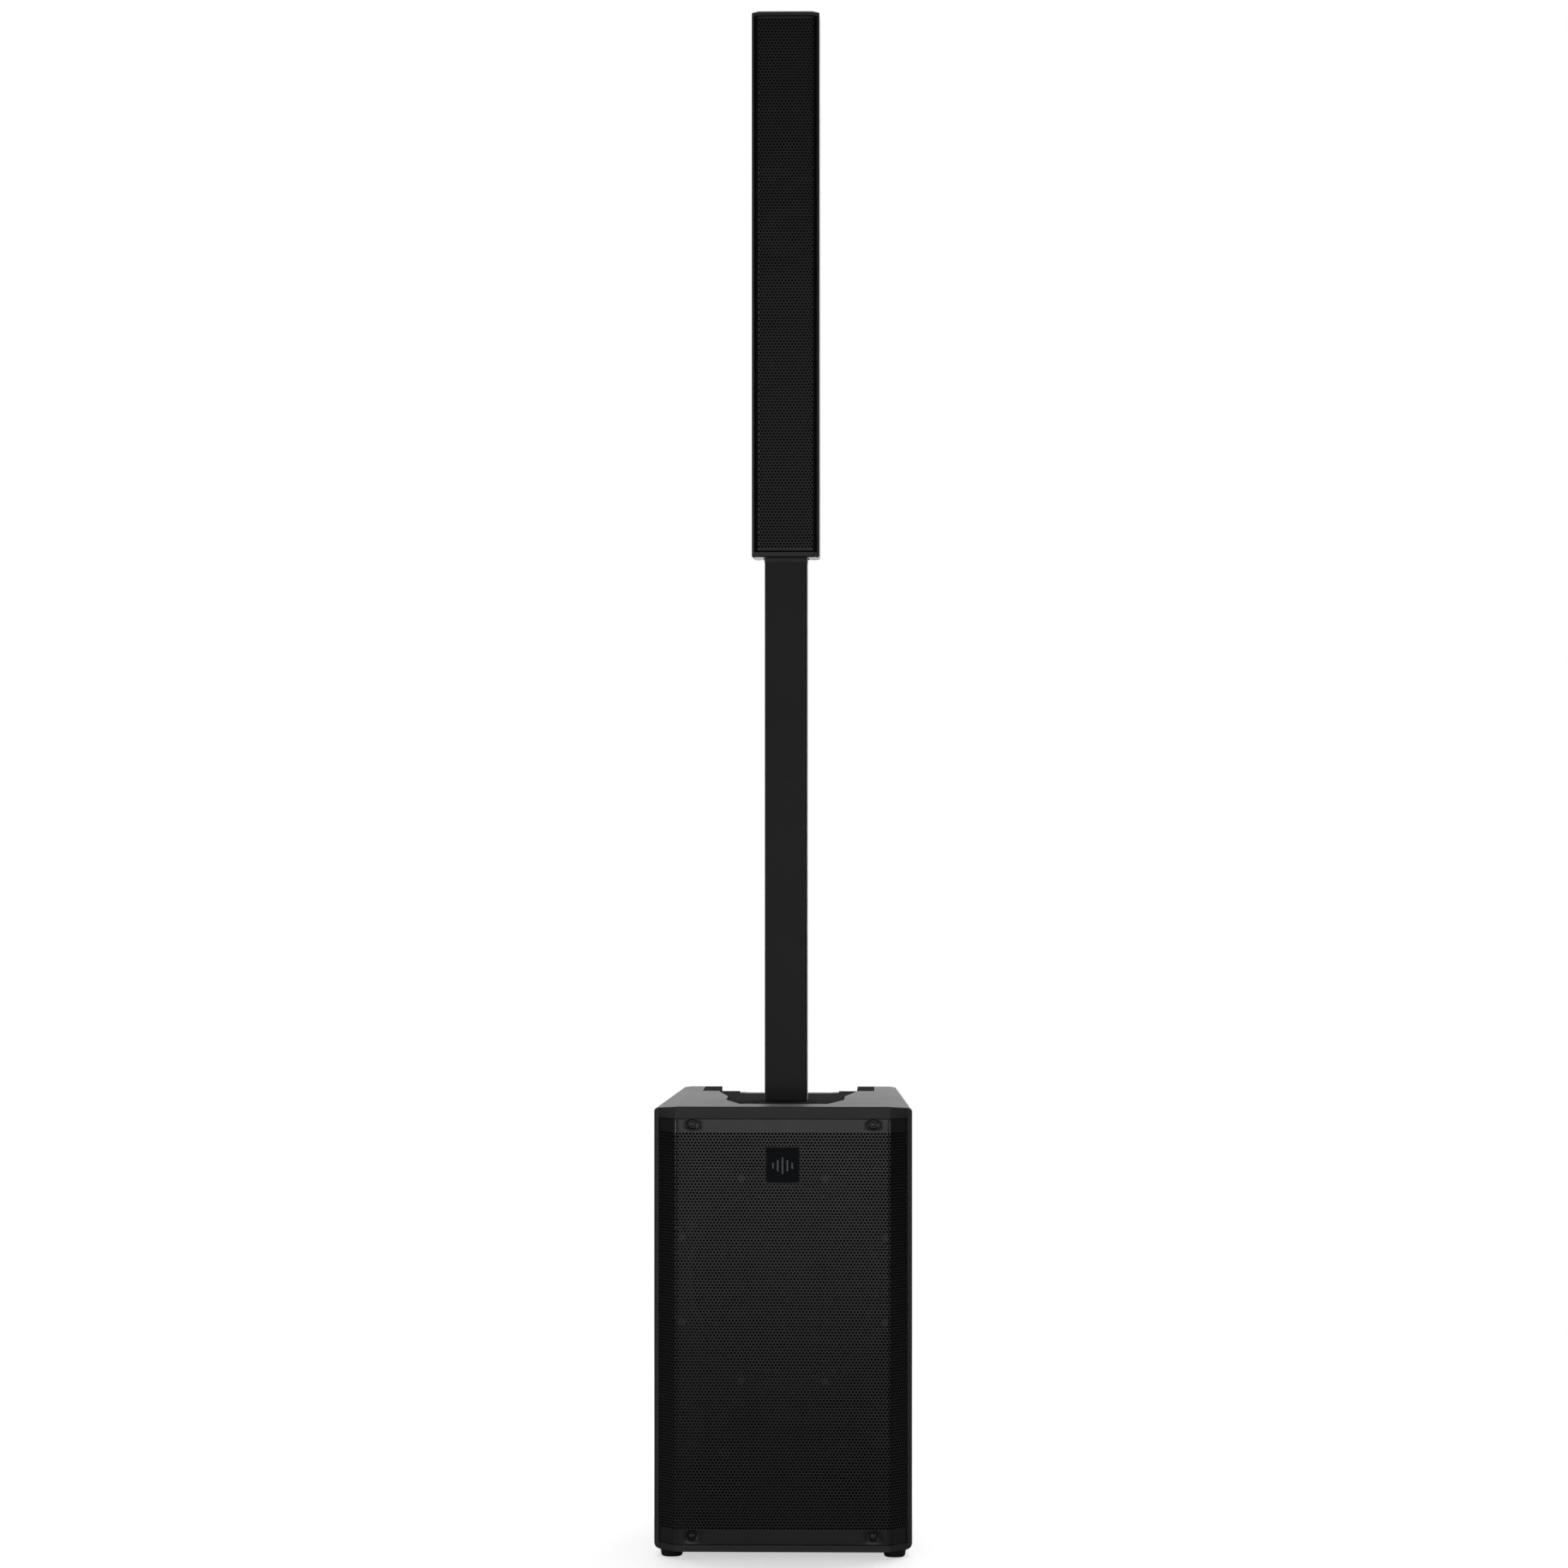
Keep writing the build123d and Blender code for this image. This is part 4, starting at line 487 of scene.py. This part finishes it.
def domed_screws(name, centres, way, radius, height, body, replaced):
    """Heads stand on their centres: a short upright side, a dome falling as a quarter ellipse to the
    socket's lobed rim, then the socket's wall down to its floor."""
    dome = np.linspace(0, 1, 6)
    radii = np.r_[1.0, 0.46 + 0.54 * np.sqrt(1 - dome ** 2 * 0.999), 0.42, 0.40, 0.38] * radius
    heights = np.r_[0.0, 0.42 + 0.58 * dome, 0.99, 0.45, 0.42] * height
    lobes = np.r_[np.zeros(7), 0.10, 0.12, 0.12]
    head = rings(radii, heights, 36, 6, lobes)
    shells(name, facing(head, centres, way), screw_zinc, body, [replaced])


domed_screws("grille_screw_heads", [(x, -208.55, z) for x, z in cup_centres], "front", 3.8, 2.9, "subwoofer",
             "grille_screws")
tray_spots = ((52, -138), (68, 40), (82, 120))
domed_screws("tray_screw_heads", [(s * x, y, 596.0) for s in (-1, 1) for x, y in tray_spots], "top", 3.5, 1.9,
             "subwoofer", "tray_screws")
domed_screws("handle_screw_heads", [(s * 85, 202.5, 591.4) for s in (-1, 1)], "top", 4.4, 3.4, "subwoofer",
             "handle_screws")
domed_screws("panel_screw_heads", [(s * 114, 203, 270 + r) for s in (-1, 1) for r in (-158, 0, 158)]
             + [(0, 203, 436), (0, 203, 104)], "back", 3.4, 2.2, "subwoofer", "panel_screws")
domed_screws("pole_screw_heads", [(s * 15, 25, z) for s in (-1, 1) for z in (628, 1306.6)], "back", 3.4, 1.8,
             "pole", "pole_screws")
cap_heads = rings(np.array([3.4, 3.4, 3.1, 2.4, 1.5, 1.4, 1.3]), [0, 1.2, 1.8, 2.1, 2.2, 1.2, 1.1], 36, 6,
                  [0, 0, 0, 0, 0.1, 0.12, 0.12])
upper_heads = facing(cap_heads, [(s * 38.75, 31, 2084.5) for s in (-1, 1)], "top")
lower_heads = facing(cap_heads, [(s * 38.75, 31, 1344.5) for s in (-1, 1)], "under")
shells("cap_screw_heads", np.concatenate([upper_heads, lower_heads]), screw_zinc, "column",
       ["cap_screws"])


# ---- Badge -----------------------------------------------------------------------------------------
# A small moulded plate in glossy blue-black sits in the grille's window, held by a flange behind
# it. Five raised bars stand in its sunk face like a level meter, with their fronts polished.

badge_black = finish("badge gloss", (0.0025, 0.003, 0.0045), (0.004, 0.005, 0.008), roughness=0.42,
                     grain=powder_coat, size=0.003, depth=0.00001, edge=0.0006, wear=0.3, specular=0.08,
                     dust=0.02)
dress(badge_black, "badge_plate")
bar_heights = np.array([9.0, 16.0, 23.0, 16.0, 9.0])


def bars(centres, sizes, round_off):
    """Upright rods with a chamfered front: four-cornered rings, the first on the plate, then the side,
    then the smaller front face."""
    corner = np.array([(-1, -1), (1, -1), (1, 1), (-1, 1)]) / 2
    grids = np.zeros((len(centres), 3, 4, 3))
    sizes = np.asarray(sizes, float)
    for ring, (shrink, rise) in enumerate(((0, 0), (0, 1), (1, 1))):
        grids[:, ring, :, :2] = corner[None] * (sizes[:, None, :2] - 2 * shrink * round_off)
        grids[:, ring, :, 2] = sizes[:, 2:3] * rise - (0 if shrink else round_off) * rise
    return grids


def set_out(grids, centres, way, turns=None):
    """Moves each local shell to its own centre, after turning it about its own out axis."""
    turns = np.zeros(len(grids)) if turns is None else np.asarray(turns, float)
    cos, sin = np.cos(turns)[:, None, None], np.sin(turns)[:, None, None]
    turned = np.stack([grids[..., 0] * cos - grids[..., 1] * sin, grids[..., 0] * sin + grids[..., 1] * cos,
                       grids[..., 2]], axis=-1)
    axes = facing(np.eye(3), [(0, 0, 0)], way)[0]
    return turned @ axes + np.asarray(centres, float)[:, None, None]


bar_centres = [((i - 2) * 6.4, -213.45, badge_middle) for i in range(5)]
bar_sizes = np.stack([np.full(5, 2.6), bar_heights - 0.4, np.full(5, 0.75)], axis=1)
bar_gloss = finish("badge bar", (0.03, 0.032, 0.036), (0.05, 0.052, 0.058), roughness=0.25,
                   grain=turned_metal, size=0.0008, depth=0.00001, edge=0.0002, metallic=0.6, dust=0.0)
shells("badge_bars", set_out(bars(bar_centres, bar_sizes, 0.25), bar_centres, "front"), bar_gloss, "subwoofer")


# ---- Top tray, hand well, carry handle and pole socket ----------------------------------------------
# A moulded tray lies on the cabinet's top for a tablet or a mixer and carries the pole's socket.
# Behind it a rubber covered bar crosses the hand well: the grip is rounded and finely ribbed.

dress(tray_black, "top_tray", "handle_well", "pole_socket", "column_socket", "lower_spigot", "upper_spigot")
grip_rubber = finish("grip rubber", (0.010, 0.010, 0.010), (0.018, 0.018, 0.018), roughness=0.66,
                     grain=rubber_pores, size=0.0005, depth=0.00003, edge=0, dust=0.2, sheen=0.2)


def ribbed_handle():
    """A bar along X. Its section is a superellipse whose corners are nearly square at the pads and
    round at the grip, and whose half sizes sink by fine ribs, a raised cosine along the grip."""
    along = np.r_[np.linspace(-96, -66, 7)[:-1], np.linspace(-66, 66, 221), np.linspace(66, 96, 7)[1:]]
    along[1], along[-2] = -95.2, 95.2
    share = np.clip((66 - np.abs(along)) / 8, 0, 1)
    share = share * share * (3 - 2 * share)
    turn = np.linspace(0, 2 * np.pi, 48, endpoint=False)
    power = (0.16 + 0.44 * share)[:, None]
    rib = (0.45 * share * (0.5 + 0.5 * np.cos(2 * np.pi * along / 3.6)))[:, None]
    end = np.where(np.abs(along) > 95.9, 0.8, 0.0)[:, None]
    wide, tall = 12.4 - rib - end, 10.9 - rib - end
    y = 202.5 + wide * np.sign(np.cos(turn)) * np.abs(np.cos(turn)) ** power
    z = 584.4 + tall * np.sign(np.sin(turn)) * np.abs(np.sin(turn)) ** power
    return np.stack([np.broadcast_to(along[:, None], y.shape), y, z], axis=-1)[None]


shells("carry_handle_bar", ribbed_handle(), grip_rubber, "subwoofer", ["carry_handle"])
brass = finish("contact brass", (0.62, 0.45, 0.17), (0.75, 0.56, 0.25), roughness=0.28, grain=turned_metal,
               size=0.0004, depth=0.00001, edge=0.0002, metallic=1.0, dust=0.0)
dress(brass, "socket_contacts", "pole_contacts", "column_contacts", "connector_pins")


# ---- Amplifier panel ------------------------------------------------------------------------------
# The rear panel is pressed from aluminium and painted in fine black texture. The channels' sockets
# and knobs sit above a finned heat sink, with level marks printed round each knob, and the mains
# inlet and rocker switch sit below. The circuit boards stand on pillars inside.

panel_texture = finish("panel paint", (0.016, 0.016, 0.017), (0.024, 0.024, 0.025), roughness=0.55,
                       grain=moulded_grain, size=0.0007, depth=0.00004, edge=0.0004, wear=0.5,
                       rubbed=(0.25, 0.25, 0.26))
dress(panel_texture, "amp_panel")
dress(finish("black anodised sink", (0.020, 0.020, 0.022), (0.034, 0.034, 0.037), roughness=0.38,
             grain=turned_metal, size=0.0005, depth=0.00001, edge=0.0003, wear=0.6,
             rubbed=(0.35, 0.35, 0.37), metallic=0.7), "heat_sink")
connector_black = finish("connector nylon", (0.010, 0.010, 0.010), (0.017, 0.017, 0.017), roughness=0.34,
                         grain=rubber_pores, size=0.0006, depth=0.00001, edge=0.0003, wear=0.3, dust=0.1)
dress(connector_black, "combo_jacks", "line_jacks", "link_output", "mains_inlet", "switch_housing",
      "switch_rocker", "level_pots")
dress(finish("button nylon", (0.09, 0.09, 0.095), (0.13, 0.13, 0.135), roughness=0.42, grain=rubber_pores,
             size=0.0006, depth=0.00001, edge=0.0005, wear=0.3, dust=0.1),
      "push_button_1", "push_button_2", "jack_latch_1", "jack_latch_2")
dress(finish("green lens", (0.02, 0.16, 0.05), (0.03, 0.24, 0.07), roughness=0.16, grain=rubber_pores,
             size=0.002, depth=0.000005, edge=0.0003, coat=0.6, dust=0.0), "indicator_lenses")


def copper_tracks_effect():
    """Square cells laid out on the board: their borders are the bare laminate between the tracks."""
    tree, entry, leave = effect("copper tracks", {"Size": 0.003}, {"Height": "Float", "Tone": "Float"})
    where, per_metre = by_size(tree, entry)
    cells = place(tree, "ShaderNodeTexVoronoi", {"Vector": where, "Scale": per_metre, "Randomness": 0.7},
                  feature="F1", distance="CHEBYCHEV")
    track = place(tree, "ShaderNodeMapRange", {"Value": cells.outputs["Distance"], "From Min": 0.30,
                                               "From Max": 0.34})
    tree.links.new(track.outputs[0], leave["Height"])
    tree.links.new(track.outputs[0], leave["Tone"])
    return tree


dress(finish("solder mask", (0.008, 0.11, 0.035), (0.02, 0.20, 0.07), roughness=0.32,
             grain=copper_tracks_effect(), size=0.0035, depth=0.00003, edge=0.0002, coat=0.3, dust=0.1),
      "amp_boards")
ink = finish("panel ink", (0.55, 0.55, 0.54), (0.66, 0.66, 0.65), roughness=0.6, grain=powder_coat,
             size=0.0006, depth=0.000004, edge=0, dust=0.05)
knob_centres = {"channel_1": (84.0, 395.0), "channel_2": (28.0, 395.0), "master": (-56.0, 395.0)}
tick_turns = np.radians(np.linspace(-150, 150, 11))
ink_y, tick_reach = 202.98, 12.6
tick_spots = np.array([(x - tick_reach * math.sin(a), ink_y, z + tick_reach * math.cos(a))
                       for x, z in knob_centres.values() for a in tick_turns])
tick_sizes = np.tile(np.stack([np.where(np.arange(11) % 5 == 0, 0.75, 0.45),
                               np.where(np.arange(11) % 5 == 0, 2.9, 1.9), np.full(11, 0.08)], axis=1), (3, 1))
boxes = np.array([(56, 362.5, 100, 125), (-56, 362.5, 100, 125), (37, 136.5, 110, 41)], float)
x, z, wide, tall = boxes.T[:, :, None]
rule_spots = np.stack([x + wide / 2 * [0, 0, 1, -1], ink_y + 0 * x + [0, 0, 0, 0],
                       z + tall / 2 * [1, -1, 0, 0]], axis=-1).reshape(-1, 3)
rule_sizes = np.stack([wide * [1, 1, 0, 0] + 0.45, tall * [0, 0, 1, 1] + 0.45, 0 * wide + [0.08] * 4],
                      axis=-1).reshape(-1, 3)
marks = np.concatenate([tick_spots, rule_spots])
mark_turns = np.r_[np.tile(tick_turns, 3), np.zeros(len(rule_spots))]
shells("panel_marks", set_out(bars(marks, np.concatenate([tick_sizes, rule_sizes]), 0.02), marks, "back",
                              mark_turns), ink, "subwoofer")


# ---- Level knobs -----------------------------------------------------------------------------------
# Three soft-touch knobs push onto the pots' shafts. Each has a skirt, eighteen shallow flutes for the
# fingers, a dished top, and a white line moulded through the rubber that shows where it points.

knob_rubber = finish("soft-touch knob", (0.014, 0.014, 0.0145), (0.022, 0.022, 0.0225), roughness=0.58,
                     grain=rubber_pores, size=0.0005, depth=0.00002, edge=0, sheen=0.25, dust=0.15)
knob_profile = rings([9.0, 9.0, 8.7, 7.5, 7.35, 7.2, 6.95, 6.4, 5.6, 4.2, 2.0],
                     [0.0, 1.1, 1.5, 1.8, 4.0, 8.6, 9.7, 10.2, 10.05, 9.6, 9.4], 108, 18,
                     [0, 0, 0, 0.035, 0.045, 0.045, 0.03, 0, 0, 0, 0])
for knob, (x, z) in knob_centres.items():
    shells(f"{knob}_fluted_knob", facing(knob_profile, [(x, 203.4, z)], "back"), knob_rubber, f"{knob}_dial",
           [f"{knob}_knob"])
    spots = np.array([(x, 213.0, z + 4.8), (x, 204.6, z + 7.55)])
    lines = bars(spots, [(1.0, 3.2, 0.75), (1.0, 0.9, 8.4)], 0.1)
    shells(f"{knob}_pointer", set_out(lines, spots, "back"), ink, f"{knob}_dial")


# ---- Pole --------------------------------------------------------------------------------------------
# A rectangular aluminium tube in black powder coat, with a moulded collar at its top.

pole_paint = finish("pole powder coat", (0.0045, 0.0045, 0.0047), (0.0065, 0.0065, 0.0068), roughness=0.55,
                    grain=powder_coat, size=0.0008, depth=0.00002, edge=0.0004, wear=0.35, dust=0.05,
                    specular=0.42)
dress(pole_paint, "pole_tube")
cap_black = finish("cap moulding", (0.013, 0.013, 0.0135), (0.020, 0.020, 0.0205), roughness=0.4,
                   grain=moulded_grain, size=0.0008, depth=0.00002, edge=0.0004, wear=0.35, dust=0.2)
dress(cap_black, "pole_collar", "column_bottom_cap", "column_top_cap")


# ---- Column --------------------------------------------------------------------------------------------
# The slim column is an aluminium extrusion with cut front corners. Its grille is the same punched
# sheet, only thinner, folded back along both edges over eight small drivers.

column_paint = finish("column powder coat", (0.006, 0.006, 0.0063), (0.009, 0.009, 0.0093), roughness=0.42,
                      grain=powder_coat, size=0.0008, depth=0.00002, edge=0.0005, wear=0.35, dust=0.1)
dress(column_paint, "column_housing")
grille("column_grille_sheet",
       {"middle": 1715.7, "rows": 183, "even": 19, "odd": 20, "window": None},
       {"half": 46.6, "low": 1351.1, "high": 2079.9},
       {"flat_half": 36.8, "run": 5.5, "setback": 8.5, "bend": 3.0, "front_y": -55.5},
       1.0, [], 2, grille_black, "column", ["column_grille"])


# ---- Floor, light and camera -----------------------------------------------------------------------------
# A white floor in a white studio, lit softly: lamps overhead and behind shine along the cabinet's
# top, panels behind the camera light the front, upright strips catch the folds of the grilles, and
# the lamps at the rear corners light the sides and the back without reaching the front.

floor_half = 4
pure_white = (1.0, 1.0, 1.0, 1.0)
floor_mesh = bpy.data.meshes.new("floor")
floor_corners = [(x * floor_half, y * floor_half, 0) for x, y in ((-1, -1), (1, -1), (1, 1), (-1, 1))]
floor_mesh.from_pydata(floor_corners, [], [(0, 1, 2, 3)])
floor = bpy.data.objects.new("floor", floor_mesh)
bpy.context.scene.collection.objects.link(floor)
floor_paint = bpy.data.materials.new("studio floor")
floor_paint.use_nodes = True
floor_tree = floor_paint.node_tree
floor_shader = floor_tree.nodes["Principled BSDF"]
floor_shader.inputs["Base Color"].default_value = (0.82, 0.82, 0.82, 1.0)
floor_shader.inputs["Roughness"].default_value = 0.9
dim = place(floor_tree, "ShaderNodeBsdfDiffuse", {"Color": (0.22, 0.22, 0.22, 1.0)})
# To the camera the floor glows a little and fades to plain white, so its edge is never seen. To all
# other light it is a dim grey, which keeps its bounce off the black pieces.
glow = place(floor_tree, "ShaderNodeEmission", {"Color": pure_white, "Strength": 0.55})
looked_at = place(floor_tree, "ShaderNodeLightPath", {}).outputs["Is Camera Ray"]
lift = place(floor_tree, "ShaderNodeAddShader", {0: floor_shader.outputs[0], 1: glow.outputs[0]})
spot = place(floor_tree, "ShaderNodeTexCoord", {}).outputs["Object"]
reach = place(floor_tree, "ShaderNodeVectorMath", {0: spot}, operation="LENGTH").outputs["Value"]
fade = place(floor_tree, "ShaderNodeMapRange", {"Value": reach, "From Min": 0.9, "From Max": 2.6},
             interpolation_type="SMOOTHSTEP").outputs["Result"]
plain = place(floor_tree, "ShaderNodeEmission", {"Color": pure_white, "Strength": 1.0})
seen = place(floor_tree, "ShaderNodeMixShader", {0: fade, 1: lift.outputs[0], 2: plain.outputs[0]})
floor_face = place(floor_tree, "ShaderNodeMixShader", {0: looked_at, 1: dim.outputs[0], 2: seen.outputs[0]})
floor_tree.links.new(floor_face.outputs[0], floor_tree.nodes["Material Output"].inputs["Surface"])
floor_mesh.materials.append(floor_paint)

studio = bpy.data.worlds.new("studio")
studio.use_nodes = True
bpy.context.scene.world = studio
sky = studio.node_tree
seen = place(sky, "ShaderNodeLightPath", {})
shown = place(sky, "ShaderNodeBackground", {"Color": pure_white, "Strength": 1.0})
lit = place(sky, "ShaderNodeBackground", {"Color": pure_white, "Strength": 0.06})
both = place(sky, "ShaderNodeMixShader", {0: seen.outputs["Is Camera Ray"], 1: lit.outputs[0],
                                         2: shown.outputs[0]})
sky.links.new(both.outputs[0], sky.nodes["World Output"].inputs["Surface"])
bpy.context.scene.view_settings.view_transform = "Standard"


def lamp(name, where, aim, size, power):
    """A rectangular area lamp at a point, turned so that it shines at its aim. No camera sees it."""
    made = bpy.data.objects.new(name, bpy.data.lights.new(name, "AREA"))
    made.data.shape = "RECTANGLE"
    made.data.size, made.data.size_y = size
    made.data.energy = power
    way = np.array(aim, float) - np.array(where, float)
    made.location = where
    tip, turn = math.atan2(math.hypot(way[0], way[1]), -way[2]), math.atan2(way[0], -way[1]) + math.pi
    made.rotation_euler = (tip, 0, turn)
    made.visible_camera = False
    bpy.context.scene.collection.objects.link(made)


lamp("overhead", (0, 1.2, 4.2), (0, 0, 0), (4.0, 3.0), 110)
lamp("behind", (0, 5.5, 1.9), (0, 0, 0.6), (6.0, 3.0), 78)
lamp("rear fill", (2.6, 4.4, 3.0), (0, 0, 0.5), (1.6, 1.6), 45)
lamp("front panel", (0.4, -8.0, 1.4), (0, 0, 1.0), (4.0, 4.0), 34)
lamp("low panel", (0.2, -5.2, 0.36), (0, 0, 0.3), (3.2, 0.66), 14)
lamp("left strip", (-4.6, -4.4, 1.2), (0, 0, 1.1), (0.5, 3.0), 80)
lamp("right strip", (4.6, -4.4, 1.2), (0, 0, 1.1), (0.5, 3.0), 45)
lamp("left side", (-4.0, 4.4, 1.2), (0, 0, 0.9), (2.2, 2.4), 110)
lamp("right side", (4.0, 4.4, 1.2), (0, 0, 0.9), (2.2, 2.4), 110)
lamp("rear panel", (0, 6.0, 0.5), (0, 0, 0.4), (3.0, 0.8), 30)

camera = bpy.data.objects.new("camera", bpy.data.cameras.new("camera"))
camera.data.lens = 110.4
camera.data.sensor_width = 36
camera.location = (0.1583, -6.613, 1.0325)
camera.rotation_euler = (math.radians(90), 0, math.radians(1.4))
bpy.context.scene.collection.objects.link(camera)
bpy.context.scene.camera = camera
